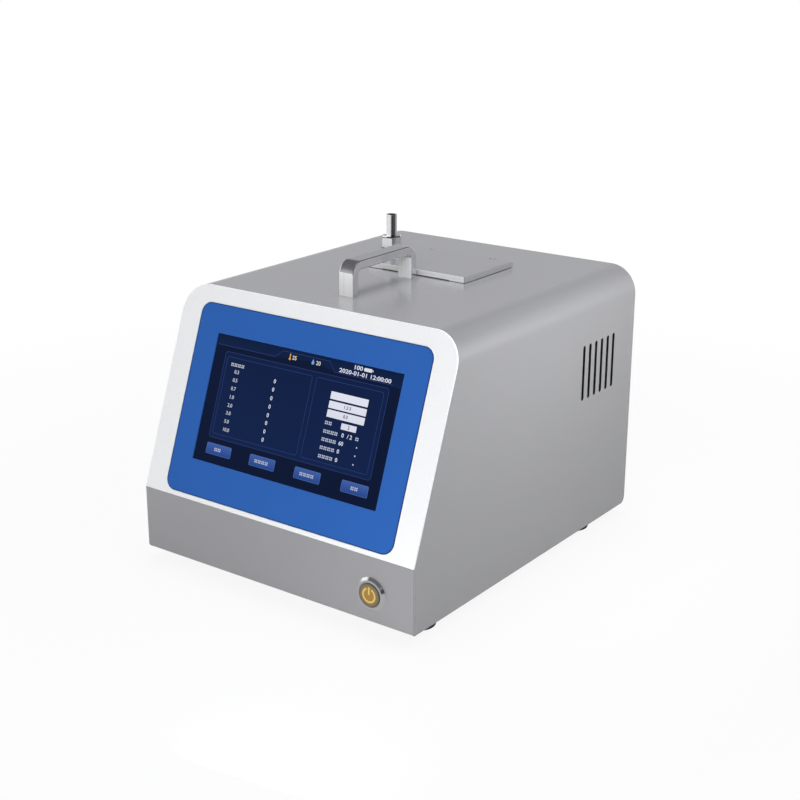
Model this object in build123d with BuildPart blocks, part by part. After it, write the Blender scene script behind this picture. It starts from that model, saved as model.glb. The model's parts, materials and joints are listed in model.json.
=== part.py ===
from build123d import *
from math import atan2, cos, hypot, sin, tan
import os

# Airborne particle counter, bench model with a sloping touch screen and a built-in printer.
# Millimetres. +X to the user's right, +Y to the back, +Z up.
# Origin: under the middle of the body, on the plane that the feet stand on.

# Body shell
body_width = 226.0
body_depth = 270.0
body_height = 180.0  # sheet-metal body, without its feet
panel_height = 45.0  # upright lower front panel
shelf_depth = 10.0  # fold along the top of the front panel
slope_setback = 50.0  # how far the top front edge lies behind the lower panel
corner_radius = 20.0  # bends along the two long top edges
rear_corner_radius = 5.0  # lower rear corner of each side sheet
sheet = 1.5
fold_radius = 1.0  # inside radius of the small folds
seam = 0.2  # gap round a panel that is let into another
fixing_lip = 12.0  # width of the folded lips that take the screws
lip_end = 25.0  # where the lips stop, short of the ends of the sides
rear_lip_end = 32.0
lip_screw_from_front = (80.0, 180.0)
rear_screw_height = (45.0, 130.0)
rear_screw_x = 55.0

# Feet
foot_height = 8.0
foot_radius = 12.0
foot_top_radius = 10.5
foot_side_inset = 18.0  # from the side of the body to the middle of a foot
foot_front_inset = 30.0
foot_rear_inset = 46.0
well_gap = 0.7  # round the screw head inside a foot

# Screws: M3 in the shell and inside, M4 in the handle and feet
small_screw_radius = 1.5
small_head_radius = 2.8
small_head_height = 2.0
large_screw_radius = 2.0
large_head_radius = 3.8
large_head_height = 2.6
head_taper = 14.0
thread_clearance = 0.05
hole_clearance = 0.25
screw_reach = 1.0  # how far a small screw comes out past the sheets it joins
foot_screw_reach = 3.0
screw_end_gap = 1.0  # between the end of a screw and the end of a blind hole

# Sloping front: moulded bezel, printed overlay, touch glass and display
bezel_lip = 1.0  # the lip that covers the front edges of the shell
bezel_thickness = 2.8
overlay_side = 17.5  # white bands at the sides, the foot and the top of the slope
overlay_bottom = 3.3
overlay_top = 11.4
overlay_radius = 8.0
overlay_thickness = 0.8
overlay_gap = 0.3
screen_side = 35.9  # from the side of the body to the visible part of the screen
screen_height = 85.9
screen_bottom = 27.4
glass_border = 2.2  # how far the glass reaches under the overlay
glass_fit = 0.2
module_overhang = 5.4  # how far the display module reaches past the visible screen at each side
module_height = 100.0
module_thickness = 5.8
module_corner = 1.0
module_recess_width = 115.0
module_recess_height = 50.0
boss_radius = 3.5
strap_width = 12.0
strap_spacing = 60.0
boss_gap = 2.0  # between the module and the bosses that carry the straps
board_thickness = 1.6
display_board_width = 140.0
display_board_height = 84.0

# Power button
button_from_side = 31.7
button_height = 20.0  # centre above the lower edge of the shell
button_flange_radius = 11.3
button_flange_height = 2.2
button_flange_bevel = 1.65
button_barrel_radius = 9.4
button_barrel_length = 24.0
button_bore_radius = 8.2
button_cap_radius = 7.9
button_cap_proud = 0.6
button_cap_length = 6.0
button_travel = 1.2
button_nut_width = 24.0
button_nut_height = 3.0

# Carrying handle
handle_length = 71.0
handle_front = 79.5  # from the front panel to the front leg
handle_rise = 23.0
handle_width = 12.0
handle_thickness = 6.0
handle_outer_radius = 9.5
handle_edge_radius = 1.0
handle_screw_length = 12.0

# Sample inlet
inlet_from_side = 48.1
inlet_from_front = 217.0
hex_width = 14.0  # across flats
hex_height = 8.2
hex_bevel = 0.7
hex_turn = 8.0  # degrees, as it stands when tightened
seal_thickness = 0.8
shank_radius = 5.0
shank_length = 11.0
barb_radius = 3.0
barb_length = 12.0
passage_radius = 2.0
inlet_tube_radius = 4.0
inlet_tube_wall = 1.0
inlet_tube_rise = 16.0
inlet_tube_seat = 4.0
inlet_seat_radius = 3.6  # the part of the tube inside the fitting
nut_height = 5.0

# Side vents and the fan behind the right-hand ones
vent_count = 6
vent_pitch = 8.25
vent_width = 3.4
vent_length = 39.4
vent_from_rear = 50.6
vent_from_base = 118.4
fan_size = 40.0
fan_depth = 10.0
fan_bore_radius = 19.0
fan_hole_spacing = 32.0
fan_hub_radius = 9.5
fan_tip_gap = 0.6
fan_blades = 7
fan_blade_thickness = 1.2
fan_blade_pitch = 38.0
fan_shaft_radius = 1.5
fan_back_thickness = 2.0
running_clearance = 0.05
moving_gap = 0.3

# Printer under the top sheet
printer_x = 1.5
lid_width = 83.0
lid_depth = 62.0
lid_thickness = 4.0
lid_from_front = 155.0
lid_corner_radius = 2.0
lid_edge_radius = 0.4
full_round_trim = 0.01  # keeps a sliver of flat between two full edge rounds
lid_opening_side = 6.0  # how far the lid overlaps its opening
lid_opening_front = 4.0
lid_opening_rear = 4.0
frame_wall = 2.5
paper_width = 60.0
paper_slot_height = 0.4
hinge_pin_radius = 1.0
pin_reach = 4.0  # how far a hinge pin goes into the lid on each side of its ear
hinge_ear_width = 4.0
hinge_ear_spacing = 52.0
roller_radius = 4.0
roller_length = 56.0
roller_shaft_radius = 1.5
roller_from_lid_front = 10.5
roller_depth = 9.0  # axis below the underside of the lid
arm_thickness = 3.0
arm_radius = 4.0
head_thickness = 3.0
head_depth = 10.0
motor_radius = 7.5
motor_length = 13.0
motor_flange_length = 25.0
motor_flange_thickness = 1.0

# Rear panel
exhaust_x = -8.0
exhaust_height = 34.0  # above the inside of the base
exhaust_thread_radius = 6.0
exhaust_flange_radius = 8.5
exhaust_flange_height = 1.5
exhaust_plug_height = 3.5
port_height = 12.5
port_depth = 12.0
port_proud = 1.0
serial_width = 31.0
serial_from_usb = 37.0
serial_shell_width = 17.0
serial_shell_height = 8.4
serial_shell_length = 4.0
serial_shell_slant = 80.0  # degrees at the ends of the D shape
serial_shell_corner = 1.5
serial_pin_pitch = 2.8
usb_width = 13.2
usb_height = 5.8
usb_from_board_side = 16.0
usb_wall = 0.5
socket_height = 62.0
socket_radius = 5.5
socket_flange_radius = 7.5
socket_bore_radius = 2.75
socket_pin_radius = 1.0
socket_length = 12.0
socket_nut_width = 14.0

# Sensor
sensor_width = 56.0
sensor_depth = 44.0
sensor_height = 40.0
sensor_lift = 50.0
sensor_post_inset = 6.0
post_radius = 4.0
post_thread_length = 6.0
laser_radius = 8.0
laser_length = 46.0
laser_seat = 16.0
laser_bevel = 1.0
beam_radius = 1.5
detector_width = 34.0
detector_height = 32.0

# Air path
hose_wall = 2.0
hose_bend = 15.0
hose_gap = 1.0  # between the end of a hose and the face behind it
pump_port_spacing = 20.0
pump_from_front = 100.0
pump_motor_radius = 15.0
pump_motor_length = 38.0
pump_head_size = 38.0
pump_head_length = 26.0
filter_radius = 21.0
filter_length = 46.0
filter_from_rear = 57.0
filter_bevel = 4.0
clip_depth = 14.0
clip_foot_width = 44.0

# Power and electronics
cell_radius = 9.2
cell_length = 68.0
cells_across = 3
cells_high = 2
battery_from_front = 93.0
battery_side_gap = 2.0  # between the strap and the lip of the cover
battery_fit = 0.3
strap_depth = 16.0
strap_foot = 12.0
main_board_width = 84.0
main_board_depth = 100.0
board_side_gap = 1.5  # between the board and the lip of the cover
board_lift = 8.0
board_corner = 2.0
board_hole_inset = 4.0
support_radius = 3.0
support_neck_radius = 1.4
support_head_radius = 1.9
support_head_height = 1.0
chip_height = 2.4
processor_size = 18.0

# Places worked out from the sizes above
front_y = -body_depth / 2
rear_y = body_depth / 2
base_z = foot_height
floor_z = base_z + sheet  # inside of the base
top_z = base_z + body_height
ceiling_z = top_z - sheet
slope_z = base_z + panel_height
slope_rise = body_height - panel_height
slope_angle = atan2(slope_setback, slope_rise)
slope_length = hypot(slope_setback, slope_rise)
overlay_width = body_width - 2 * overlay_side
overlay_height = slope_length - overlay_bottom - overlay_top
screen_width = body_width - 2 * screen_side
module_width = screen_width + 2 * module_overhang
strap_boss_spacing = module_width + 2 * (boss_gap + boss_radius)
inner_half_width = body_width / 2 - sheet
vent_y = rear_y - vent_from_rear
vent_z = base_z + vent_from_base
button_z = base_z + button_height
button_x = body_width / 2 - button_from_side
inlet_x = inlet_from_side - body_width / 2
foot_x = body_width / 2 - foot_side_inset
inlet_y = front_y + inlet_from_front
exhaust_z = floor_z + exhaust_height
board_z = floor_z + board_lift
port_z = board_z + board_thickness
socket_z = base_z + socket_height
slope_plane = Plane(
    origin=(0, front_y, slope_z),
    x_dir=(1, 0, 0),
    z_dir=(0, -cos(slope_angle), sin(slope_angle)),
)
os.makedirs("parts", exist_ok=True)


def finish(piece, name):
    piece.part.label = name
    export_step(piece.part, f"parts/{name}.step")


def body_outline(inset):
    """Front view of the body: square at the foot, rounded at the two top corners."""
    width = body_width - 2 * inset
    height = body_height - inset
    with BuildSketch() as outline:
        with Locations((0, base_z + height / 2)):
            Rectangle(width, height)
        fillet(outline.vertices().group_by(Axis.Y)[-1], corner_radius - inset)
    return outline.sketch


def slope_y(depth, z):
    """Y of the sloping front at height z, pushed in by depth along its normal."""
    return front_y + depth / cos(slope_angle) + (z - slope_z) * tan(slope_angle)


def slope_slab(near, far, bottom, top):
    """Side view of a slice that follows the slope, between two depths."""
    with BuildSketch() as slab:
        with BuildLine():
            Polyline(
                (slope_y(near, bottom), bottom),
                (slope_y(near, top), top),
                (slope_y(far, top), top),
                (slope_y(far, bottom), bottom),
                close=True,
            )
        make_face()
    return slab.sketch


def screws(name, places, head_radius, head_height, screw_radius, length):
    """Pan-head screws: each place is a plane on the underside of a head, facing out."""
    with BuildPart() as group:
        for place in places:
            with BuildSketch(place):
                Circle(head_radius)
            extrude(amount=head_height, taper=head_taper)
            with BuildSketch(place):
                Circle(screw_radius)
            extrude(amount=-length)
            with BuildSketch(place.offset(head_height)):
                Rectangle(head_radius, head_radius / 4)
                Rectangle(head_radius / 4, head_radius)
            extrude(amount=-head_height / 2, mode=Mode.SUBTRACT)
    finish(group, name)


def handle_side_edges(piece):
    """The long edges on both flat sides of a bent bar."""
    sides = piece.faces().filter_by(Axis.X)
    return [e for face in sides for e in face.outer_wire().edges() if e.center().Z > top_z + moving_gap]


def facing(x, y, z, normal):
    """A plane at a point that looks along a normal."""
    return Plane(origin=(x, y, z), z_dir=normal)


# Folded cover: top and both sides in one sheet, with lips for the base and the rear panel
lip_screw_x = inner_half_width - fixing_lip / 2
lip_screw_y = [front_y + distance for distance in lip_screw_from_front]
rear_screw_z = [base_z + height for height in rear_screw_height]
rear_top_screw_z = ceiling_z - fixing_lip / 2
rear_low_screw_z = floor_z + fixing_lip / 2
panel_y = rear_y - sheet  # inner face of the rear panel
handle_y = front_y + handle_front + handle_length / 2
handle_leg_y = handle_length / 2 - handle_thickness / 2
lid_y = front_y + lid_from_front + lid_depth / 2
opening_width = lid_width - 2 * lid_opening_side
opening_front_y = lid_y - lid_depth / 2 + lid_opening_front
opening_rear_y = lid_y + lid_depth / 2 - lid_opening_rear
opening_depth = opening_rear_y - opening_front_y
opening_y = (opening_front_y + opening_rear_y) / 2
pivot_y = lid_y + lid_depth / 2 - lid_thickness / 2
pivot_z = top_z + moving_gap + lid_thickness / 2

with BuildPart() as housing_cover:
    with BuildSketch(Plane.XZ.offset(-rear_y)):
        add(body_outline(0))
    extrude(amount=body_depth)
    with BuildSketch(Plane.XZ.offset(-rear_y)):
        add(body_outline(sheet))
    extrude(amount=body_depth, mode=Mode.SUBTRACT)
    with BuildSketch(Plane.YZ) as cover_side:
        with BuildLine():
            Polyline(
                (front_y + sheet, base_z),
                (front_y + sheet, slope_z),
                (slope_y(bezel_lip, slope_z), slope_z),
                (slope_y(bezel_lip, top_z), top_z),
                (rear_y, top_z),
                (rear_y, base_z),
                close=True,
            )
        make_face()
        fillet(cover_side.vertices().group_by(Axis.X)[-1].sort_by(Axis.Y)[0], rear_corner_radius)
    extrude(amount=body_width, both=True, mode=Mode.INTERSECT)
    # lips along the foot of each side
    with BuildSketch(Plane.XY.offset(floor_z)):
        with GridLocations(2 * lip_screw_x, 0, 2, 1):
            Rectangle(fixing_lip, body_depth - 2 * lip_end)
    extrude(amount=sheet)
    # lips round the rear mouth
    with BuildSketch(Plane.XZ.offset(-panel_y)):
        with Locations((0, base_z + body_height / 2)):
            with GridLocations(2 * lip_screw_x, 0, 2, 1):
                Rectangle(fixing_lip, body_height - 2 * rear_lip_end)
        with Locations((0, rear_top_screw_z)):
            Rectangle(body_width - 2 * rear_lip_end, fixing_lip)
    extrude(amount=sheet)
    # vent slots through both sides
    with BuildSketch(Plane.YZ):
        with Locations((vent_y, vent_z)):
            with GridLocations(vent_pitch, 0, vent_count, 1):
                SlotOverall(vent_length, vent_width, rotation=90)
    extrude(amount=body_width, both=True, mode=Mode.SUBTRACT)
    # openings in the top for the printer, its hinge ears, the inlet and the handle screws
    with BuildSketch(Plane.XY.offset(top_z)):
        with Locations((printer_x, opening_y)):
            Rectangle(opening_width, opening_depth)
        with Locations((printer_x, pivot_y)):
            with GridLocations(hinge_ear_spacing, 0, 2, 1):
                Rectangle(hinge_ear_width + 2 * moving_gap, lid_thickness + 4 * moving_gap)
        with Locations((inlet_x, inlet_y)):
            Circle(shank_radius + hole_clearance)
        with Locations((0, handle_y)):
            with GridLocations(0, 2 * handle_leg_y, 1, 2):
                Circle(large_screw_radius + hole_clearance)
    extrude(amount=-2 * sheet, mode=Mode.SUBTRACT)
    # screw holes in the lips
    with BuildSketch(Plane.XY.offset(floor_z)):
        for y in lip_screw_y:
            with Locations((0, y)):
                with GridLocations(2 * lip_screw_x, 0, 2, 1):
                    Circle(small_screw_radius + thread_clearance)
    extrude(amount=2 * sheet, mode=Mode.SUBTRACT)
    with BuildSketch(Plane.XZ.offset(-panel_y)):
        for z in rear_screw_z:
            with Locations((0, z)):
                with GridLocations(2 * lip_screw_x, 0, 2, 1):
                    Circle(small_screw_radius + thread_clearance)
        with Locations((0, rear_top_screw_z)):
            with GridLocations(2 * rear_screw_x, 0, 2, 1):
                Circle(small_screw_radius + thread_clearance)
    extrude(amount=2 * sheet, mode=Mode.SUBTRACT)
    # welded studs that carry the fan
    with BuildSketch(Plane.YZ.offset(inner_half_width)):
        with Locations((vent_y, vent_z)):
            with GridLocations(fan_hole_spacing, fan_hole_spacing, 2, 2):
                Circle(small_screw_radius)
    extrude(amount=-(fan_depth + moving_gap + nut_height))
finish(housing_cover, "housing_cover")

# Places on the base for the inner parts
pump_x = inlet_x + pump_port_spacing / 2
pump_y = front_y + pump_from_front
pump_screw_y = pump_y + pump_head_length / 2
battery_width = 2 * cell_radius * cells_across
battery_height = 2 * cell_radius * cells_high
strap_foot_x = battery_width / 2 + battery_fit + strap_foot / 2
lip_edge_x = inner_half_width - fixing_lip
battery_x = lip_edge_x - battery_side_gap - strap_foot_x - strap_foot / 2
battery_y = front_y + battery_from_front
filter_y = rear_y - filter_from_rear
main_board_x = lip_edge_x - board_side_gap - main_board_width / 2
usb_x = main_board_x + main_board_width / 2 - usb_from_board_side
socket_x = usb_x
serial_x = usb_x - serial_from_usb
clip_screw_x = clip_foot_width / 2 - small_head_radius
base_screw_places = [(pump_x + side * pump_head_size / 4, pump_screw_y) for side in (-1, 1)]
base_screw_places += [(battery_x + side * strap_foot_x, battery_y) for side in (-1, 1)]
base_screw_places += [(exhaust_x + side * clip_screw_x, filter_y) for side in (-1, 1)]

port_left_x = serial_x - serial_width / 2 - moving_gap
port_right_x = usb_x + usb_width / 2 + moving_gap

# Base: floor, upright front panel and a rear upstand with a notch for the ports, folded from one sheet
foot_y = (front_y + foot_front_inset, rear_y - foot_rear_inset)
with BuildPart() as base_pan:
    with BuildSketch(Plane.YZ) as base_profile:
        with BuildLine():
            Polyline(
                (front_y, base_z),
                (front_y, slope_z - seam),
                (front_y + shelf_depth, slope_z - seam),
                (front_y + shelf_depth, slope_z - seam - sheet),
                (front_y + sheet, slope_z - seam - sheet),
                (front_y + sheet, floor_z),
                (panel_y - sheet, floor_z),
                (panel_y - sheet, floor_z + fixing_lip),
                (panel_y, floor_z + fixing_lip),
                (panel_y, base_z),
                close=True,
            )
        make_face()
        fillet(base_profile.vertices().group_by(Axis.X)[0].sort_by(Axis.Y)[0], fold_radius + sheet)
    extrude(amount=body_width / 2, both=True)
    # behind the front panel the sheet runs between the two sides of the cover
    with BuildSketch(Plane.XY.offset(base_z)):
        with Locations((0, (front_y + sheet + rear_y) / 2)):
            with GridLocations(body_width, 0, 2, 1):
                Rectangle(2 * (sheet + seam), body_depth - sheet)
    extrude(amount=panel_height, mode=Mode.SUBTRACT)
    with BuildSketch(Plane.XY.offset(base_z)):
        for y in lip_screw_y:
            with Locations((0, y)):
                with GridLocations(2 * lip_screw_x, 0, 2, 1):
                    Circle(small_screw_radius + hole_clearance)
        for y in foot_y:
            with Locations((0, y)):
                with GridLocations(2 * foot_x, 0, 2, 1):
                    Circle(large_screw_radius + thread_clearance)
        with Locations(base_screw_places):
            Circle(small_screw_radius + hole_clearance)
    extrude(amount=sheet, mode=Mode.SUBTRACT)
    with BuildSketch(Plane.XZ.offset(-front_y)):
        with Locations((button_x, button_z)):
            Circle(button_barrel_radius + hole_clearance)
    extrude(amount=-sheet, mode=Mode.SUBTRACT)
    with BuildSketch(Plane.XZ.offset(-panel_y)):
        with Locations((0, rear_low_screw_z)):
            with GridLocations(2 * rear_screw_x, 0, 2, 1):
                Circle(small_screw_radius + thread_clearance)
        with Locations(((port_left_x + port_right_x) / 2, floor_z + fixing_lip)):
            Rectangle(port_right_x - port_left_x, 2 * (floor_z + fixing_lip - port_z + moving_gap))
    extrude(amount=sheet, mode=Mode.SUBTRACT)
finish(base_pan, "base_pan")

# Rear panel, let into the mouth of the cover
with BuildPart() as rear_panel:
    with BuildSketch(Plane.XZ.offset(-rear_y)):
        add(body_outline(sheet + seam))
    extrude(amount=sheet)
    with BuildSketch(Plane.XZ.offset(-rear_y)):
        for z in rear_screw_z:
            with Locations((0, z)):
                with GridLocations(2 * lip_screw_x, 0, 2, 1):
                    Circle(small_screw_radius + hole_clearance)
        for z in (rear_low_screw_z, rear_top_screw_z):
            with Locations((0, z)):
                with GridLocations(2 * rear_screw_x, 0, 2, 1):
                    Circle(small_screw_radius + hole_clearance)
        with Locations((exhaust_x, exhaust_z)):
            Circle(exhaust_thread_radius + hole_clearance)
        with Locations((socket_x, socket_z)):
            Circle(socket_radius + hole_clearance)
        with Locations((serial_x, port_z + port_height / 2)):
            Rectangle(serial_width + 2 * hole_clearance, port_height + 2 * hole_clearance)
        with Locations((usb_x, port_z + usb_height / 2)):
            Rectangle(usb_width + 2 * hole_clearance, usb_height + 2 * hole_clearance)
    extrude(amount=sheet, mode=Mode.SUBTRACT)
finish(rear_panel, "rear_panel")

# Bezel: a moulded frame whose thin lip covers the front edges of the cover
overlay_v = overlay_bottom + overlay_height / 2
screen_v = screen_bottom + screen_height / 2
glass_width = screen_width + 2 * glass_border
glass_height = screen_height + 2 * glass_border
module_back = bezel_thickness + module_thickness
with BuildPart() as bezel_face:
    with BuildSketch(Plane.XZ.offset(-rear_y)):
        add(body_outline(0))
    extrude(amount=body_depth)
    with BuildSketch(Plane.YZ):
        add(slope_slab(0, bezel_lip, slope_z, top_z))
    extrude(amount=body_width, both=True, mode=Mode.INTERSECT)
with BuildPart() as bezel_body:
    with BuildSketch(Plane.XZ.offset(-rear_y)):
        add(body_outline(sheet + seam))
    extrude(amount=body_depth)
    with BuildSketch(Plane.YZ):
        add(slope_slab(bezel_lip, bezel_thickness, slope_z, ceiling_z - seam))
    extrude(amount=body_width, both=True, mode=Mode.INTERSECT)
with BuildPart() as front_bezel:
    add(bezel_face)
    add(bezel_body)
    with BuildSketch(slope_plane.offset(-module_back)):
        with Locations((0, screen_v)):
            with GridLocations(strap_boss_spacing, strap_spacing, 2, 2):
                Circle(boss_radius)
    extrude(amount=module_thickness)
    with BuildSketch(slope_plane):
        with Locations((0, overlay_v)):
            RectangleRounded(
                overlay_width + 2 * overlay_gap,
                overlay_height + 2 * overlay_gap,
                overlay_radius + overlay_gap,
            )
    extrude(amount=-overlay_thickness, mode=Mode.SUBTRACT)
    with BuildSketch(slope_plane):
        with Locations((0, screen_v)):
            Rectangle(glass_width + 2 * glass_fit, glass_height + 2 * glass_fit)
    extrude(amount=-bezel_thickness, mode=Mode.SUBTRACT)
    with BuildSketch(slope_plane.offset(-module_back)):
        with Locations((0, screen_v)):
            with GridLocations(strap_boss_spacing, strap_spacing, 2, 2):
                Circle(small_screw_radius + thread_clearance)
    extrude(amount=module_thickness, mode=Mode.SUBTRACT)
finish(front_bezel, "front_bezel")

# Printed overlay with the screen window
with BuildPart() as overlay_panel:
    with BuildSketch(slope_plane.offset(-overlay_thickness)):
        with Locations((0, overlay_v)):
            RectangleRounded(overlay_width, overlay_height, overlay_radius)
        with Locations((0, screen_v)):
            Rectangle(screen_width, screen_height, mode=Mode.SUBTRACT)
    extrude(amount=overlay_thickness)
finish(overlay_panel, "overlay_panel")

# Touch glass, under the edge of the overlay
with BuildPart() as touch_glass:
    with BuildSketch(slope_plane.offset(-bezel_thickness)):
        with Locations((0, screen_v)):
            Rectangle(glass_width, glass_height)
    extrude(amount=bezel_thickness - overlay_thickness)
finish(touch_glass, "touch_glass")

# Display module, clamped behind the bezel by two straps
with BuildPart() as display_module:
    with BuildSketch(slope_plane.offset(-module_back)):
        with Locations((0, screen_v)):
            RectangleRounded(module_width, module_height, module_corner)
    extrude(amount=module_thickness)
    with BuildSketch(slope_plane.offset(-module_back)):
        with Locations((0, screen_v)):
            Rectangle(module_recess_width, module_recess_height)
    extrude(amount=module_corner, mode=Mode.SUBTRACT)
finish(display_module, "display_module")

with BuildPart() as display_straps:
    with BuildSketch(slope_plane.offset(-module_back - sheet)):
        with Locations((0, screen_v)):
            with GridLocations(0, strap_spacing, 1, 2):
                SlotOverall(strap_boss_spacing + strap_width, strap_width)
            with GridLocations(strap_boss_spacing, strap_spacing, 2, 2):
                Circle(small_screw_radius + hole_clearance, mode=Mode.SUBTRACT)
    extrude(amount=sheet)
finish(display_straps, "display_straps")

strap_plane = slope_plane.offset(-module_back - sheet)
strap_places = []
for x in (-strap_boss_spacing / 2, strap_boss_spacing / 2):
    for v in (screen_v - strap_spacing / 2, screen_v + strap_spacing / 2):
        strap_places.append(Plane(strap_plane.from_local_coords((x, v, 0)), z_dir=-slope_plane.z_dir))
strap_screw_length = sheet + module_thickness - screw_end_gap
screws(
    "strap_screws", strap_places,
    small_head_radius, small_head_height, small_screw_radius, strap_screw_length,
)

# Display driver board on the back of the straps, with its main chips and a flat-cable socket
display_hole_x = display_board_width - 2 * board_hole_inset
display_hole_y = display_board_height - 2 * board_hole_inset
with BuildPart() as display_board:
    board_plane = slope_plane.offset(-module_back - sheet - board_thickness)
    with BuildSketch(board_plane):
        with Locations((0, screen_v)):
            RectangleRounded(display_board_width, display_board_height, board_corner)
            with GridLocations(display_hole_x, display_hole_y, 2, 2):
                Circle(small_screw_radius, mode=Mode.SUBTRACT)
    extrude(amount=board_thickness)
    with BuildSketch(board_plane):
        with Locations((display_board_width / 5, screen_v)):
            Rectangle(processor_size, processor_size)
        with Locations((0, screen_v)):
            with GridLocations(display_board_width / 2, display_board_height / 2, 2, 2):
                Rectangle(processor_size, processor_size / 2)
    extrude(amount=-chip_height)
finish(display_board, "display_board")

# Power button: flanged barrel, travelling cap and back nut
button_face_y = front_y - button_flange_height
cap_front_y = button_face_y - button_cap_proud
cap_back_y = cap_front_y + button_cap_length
pocket_y = cap_back_y + button_travel + moving_gap
button_axis = Axis((button_x, 0, button_z), (0, 1, 0))
button_plane = Plane(origin=(button_x, 0, button_z), x_dir=(1, 0, 0), z_dir=(0, 0, 1))
with BuildPart() as button_bezel:
    with BuildSketch(button_plane):
        with BuildLine():
            Polyline(
                (button_bore_radius, button_face_y),
                (button_flange_radius - button_flange_bevel, button_face_y),
                (button_flange_radius, button_face_y + button_flange_bevel),
                (button_flange_radius, front_y),
                (button_barrel_radius, front_y),
                (button_barrel_radius, front_y + button_barrel_length),
                (0, front_y + button_barrel_length),
                (0, pocket_y),
                (button_bore_radius, pocket_y),
                close=True,
            )
        make_face()
    revolve(axis=button_axis)
finish(button_bezel, "button_bezel")

with BuildPart() as button_cap:
    with BuildSketch(Plane.XZ.offset(-cap_front_y)):
        with Locations((button_x, button_z)):
            Circle(button_cap_radius)
    extrude(amount=-button_cap_length)
    fillet(button_cap.faces().sort_by(Axis.Y)[0].edges(), button_cap_proud / 2)
finish(button_cap, "button_cap")

button_nut_y = front_y + sheet
with BuildPart() as button_nut:
    with BuildSketch(Plane.XZ.offset(-button_nut_y)):
        with Locations((button_x, button_z)):
            RegularPolygon(button_nut_width / 2, 6, major_radius=False)
            Circle(button_barrel_radius + thread_clearance, mode=Mode.SUBTRACT)
    extrude(amount=-button_nut_height)
finish(button_nut, "button_nut")

# Carrying handle: a flat bar bent into a U, screwed from under the top sheet
with BuildPart() as carry_handle:
    with BuildSketch(Plane.YZ.offset(-handle_width / 2)) as handle_outer:
        with Locations((handle_y, top_z + handle_rise / 2)):
            Rectangle(handle_length, handle_rise)
        fillet(handle_outer.vertices().group_by(Axis.Y)[-1], handle_outer_radius)
    extrude(amount=handle_width)
    handle_gap = handle_length - 2 * handle_thickness
    with BuildSketch(Plane.YZ.offset(-handle_width / 2)) as handle_inner:
        with Locations((handle_y, top_z + (handle_rise - handle_thickness) / 2)):
            Rectangle(handle_gap, handle_rise - handle_thickness)
        fillet(handle_inner.vertices().group_by(Axis.Y)[-1], handle_outer_radius - handle_thickness)
    extrude(amount=handle_width, mode=Mode.SUBTRACT)
    fillet(
        handle_side_edges(carry_handle),
        handle_edge_radius,
    )
    with BuildSketch(Plane.XY.offset(top_z)):
        with Locations((0, handle_y)):
            with GridLocations(0, 2 * handle_leg_y, 1, 2):
                Circle(large_screw_radius + thread_clearance)
    extrude(amount=handle_screw_length, mode=Mode.SUBTRACT)
finish(carry_handle, "carry_handle")
screws(
    "handle_screws",
    [facing(0, handle_y + side * handle_leg_y, ceiling_z, (0, 0, -1)) for side in (-1, 1)],
    large_head_radius, large_head_height, large_screw_radius, sheet + handle_screw_length - screw_end_gap,
)

# Sample inlet: hexagon fitting with a clamping shank and a hose barb, seal, nut and tube
fitting_top_z = top_z + seal_thickness + hex_height
fitting_foot_z = top_z - shank_length
barb_foot_z = fitting_foot_z - barb_length
with BuildPart() as inlet_fitting:
    with BuildSketch(Plane.XY.offset(top_z + seal_thickness)):
        with Locations((inlet_x, inlet_y)):
            RegularPolygon(hex_width / 2, 6, major_radius=False, rotation=hex_turn)
    extrude(amount=hex_height)
    chamfer(inlet_fitting.edges().group_by(Axis.Z)[-1], hex_bevel)
    with BuildSketch(Plane.XY.offset(top_z + seal_thickness)):
        with Locations((inlet_x, inlet_y)):
            Circle(shank_radius)
    extrude(amount=-(shank_length + seal_thickness))
    with BuildSketch(Plane.XY.offset(barb_foot_z)):
        with Locations((inlet_x, inlet_y)):
            Circle(barb_radius)
    extrude(amount=barb_length)
    with BuildSketch(Plane.XY.offset(barb_foot_z)):
        with Locations((inlet_x, inlet_y)):
            Circle(passage_radius)
    extrude(amount=fitting_top_z - barb_foot_z, mode=Mode.SUBTRACT)
    with BuildSketch(Plane.XY.offset(fitting_top_z)):
        with Locations((inlet_x, inlet_y)):
            Circle(inlet_seat_radius + thread_clearance)
    extrude(amount=-inlet_tube_seat, mode=Mode.SUBTRACT)
finish(inlet_fitting, "inlet_fitting")

with BuildPart() as inlet_seal:
    with BuildSketch(Plane.XY.offset(top_z)):
        with Locations((inlet_x, inlet_y)):
            Circle(hex_width / 2)
            Circle(shank_radius + thread_clearance, mode=Mode.SUBTRACT)
    extrude(amount=seal_thickness)
finish(inlet_seal, "inlet_seal")

with BuildPart() as inlet_nut:
    with BuildSketch(Plane.XY.offset(ceiling_z)):
        with Locations((inlet_x, inlet_y)):
            RegularPolygon(hex_width / 2, 6, major_radius=False)
            Circle(shank_radius + thread_clearance, mode=Mode.SUBTRACT)
    extrude(amount=-nut_height)
finish(inlet_nut, "inlet_nut")

with BuildPart() as inlet_tube:
    with BuildSketch(Plane.XY.offset(fitting_top_z)):
        with Locations((inlet_x, inlet_y)):
            Circle(inlet_tube_radius)
    extrude(amount=inlet_tube_rise)
    with BuildSketch(Plane.XY.offset(fitting_top_z - inlet_tube_seat)):
        with Locations((inlet_x, inlet_y)):
            Circle(inlet_seat_radius)
    extrude(amount=inlet_tube_seat)
    with BuildSketch(Plane.XY.offset(fitting_top_z - inlet_tube_seat)):
        with Locations((inlet_x, inlet_y)):
            Circle(inlet_tube_radius - inlet_tube_wall)
    extrude(amount=inlet_tube_seat + inlet_tube_rise, mode=Mode.SUBTRACT)
    chamfer(inlet_tube.edges().group_by(Axis.Z)[-1], inlet_tube_wall / 4)
finish(inlet_tube, "inlet_tube")

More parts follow.
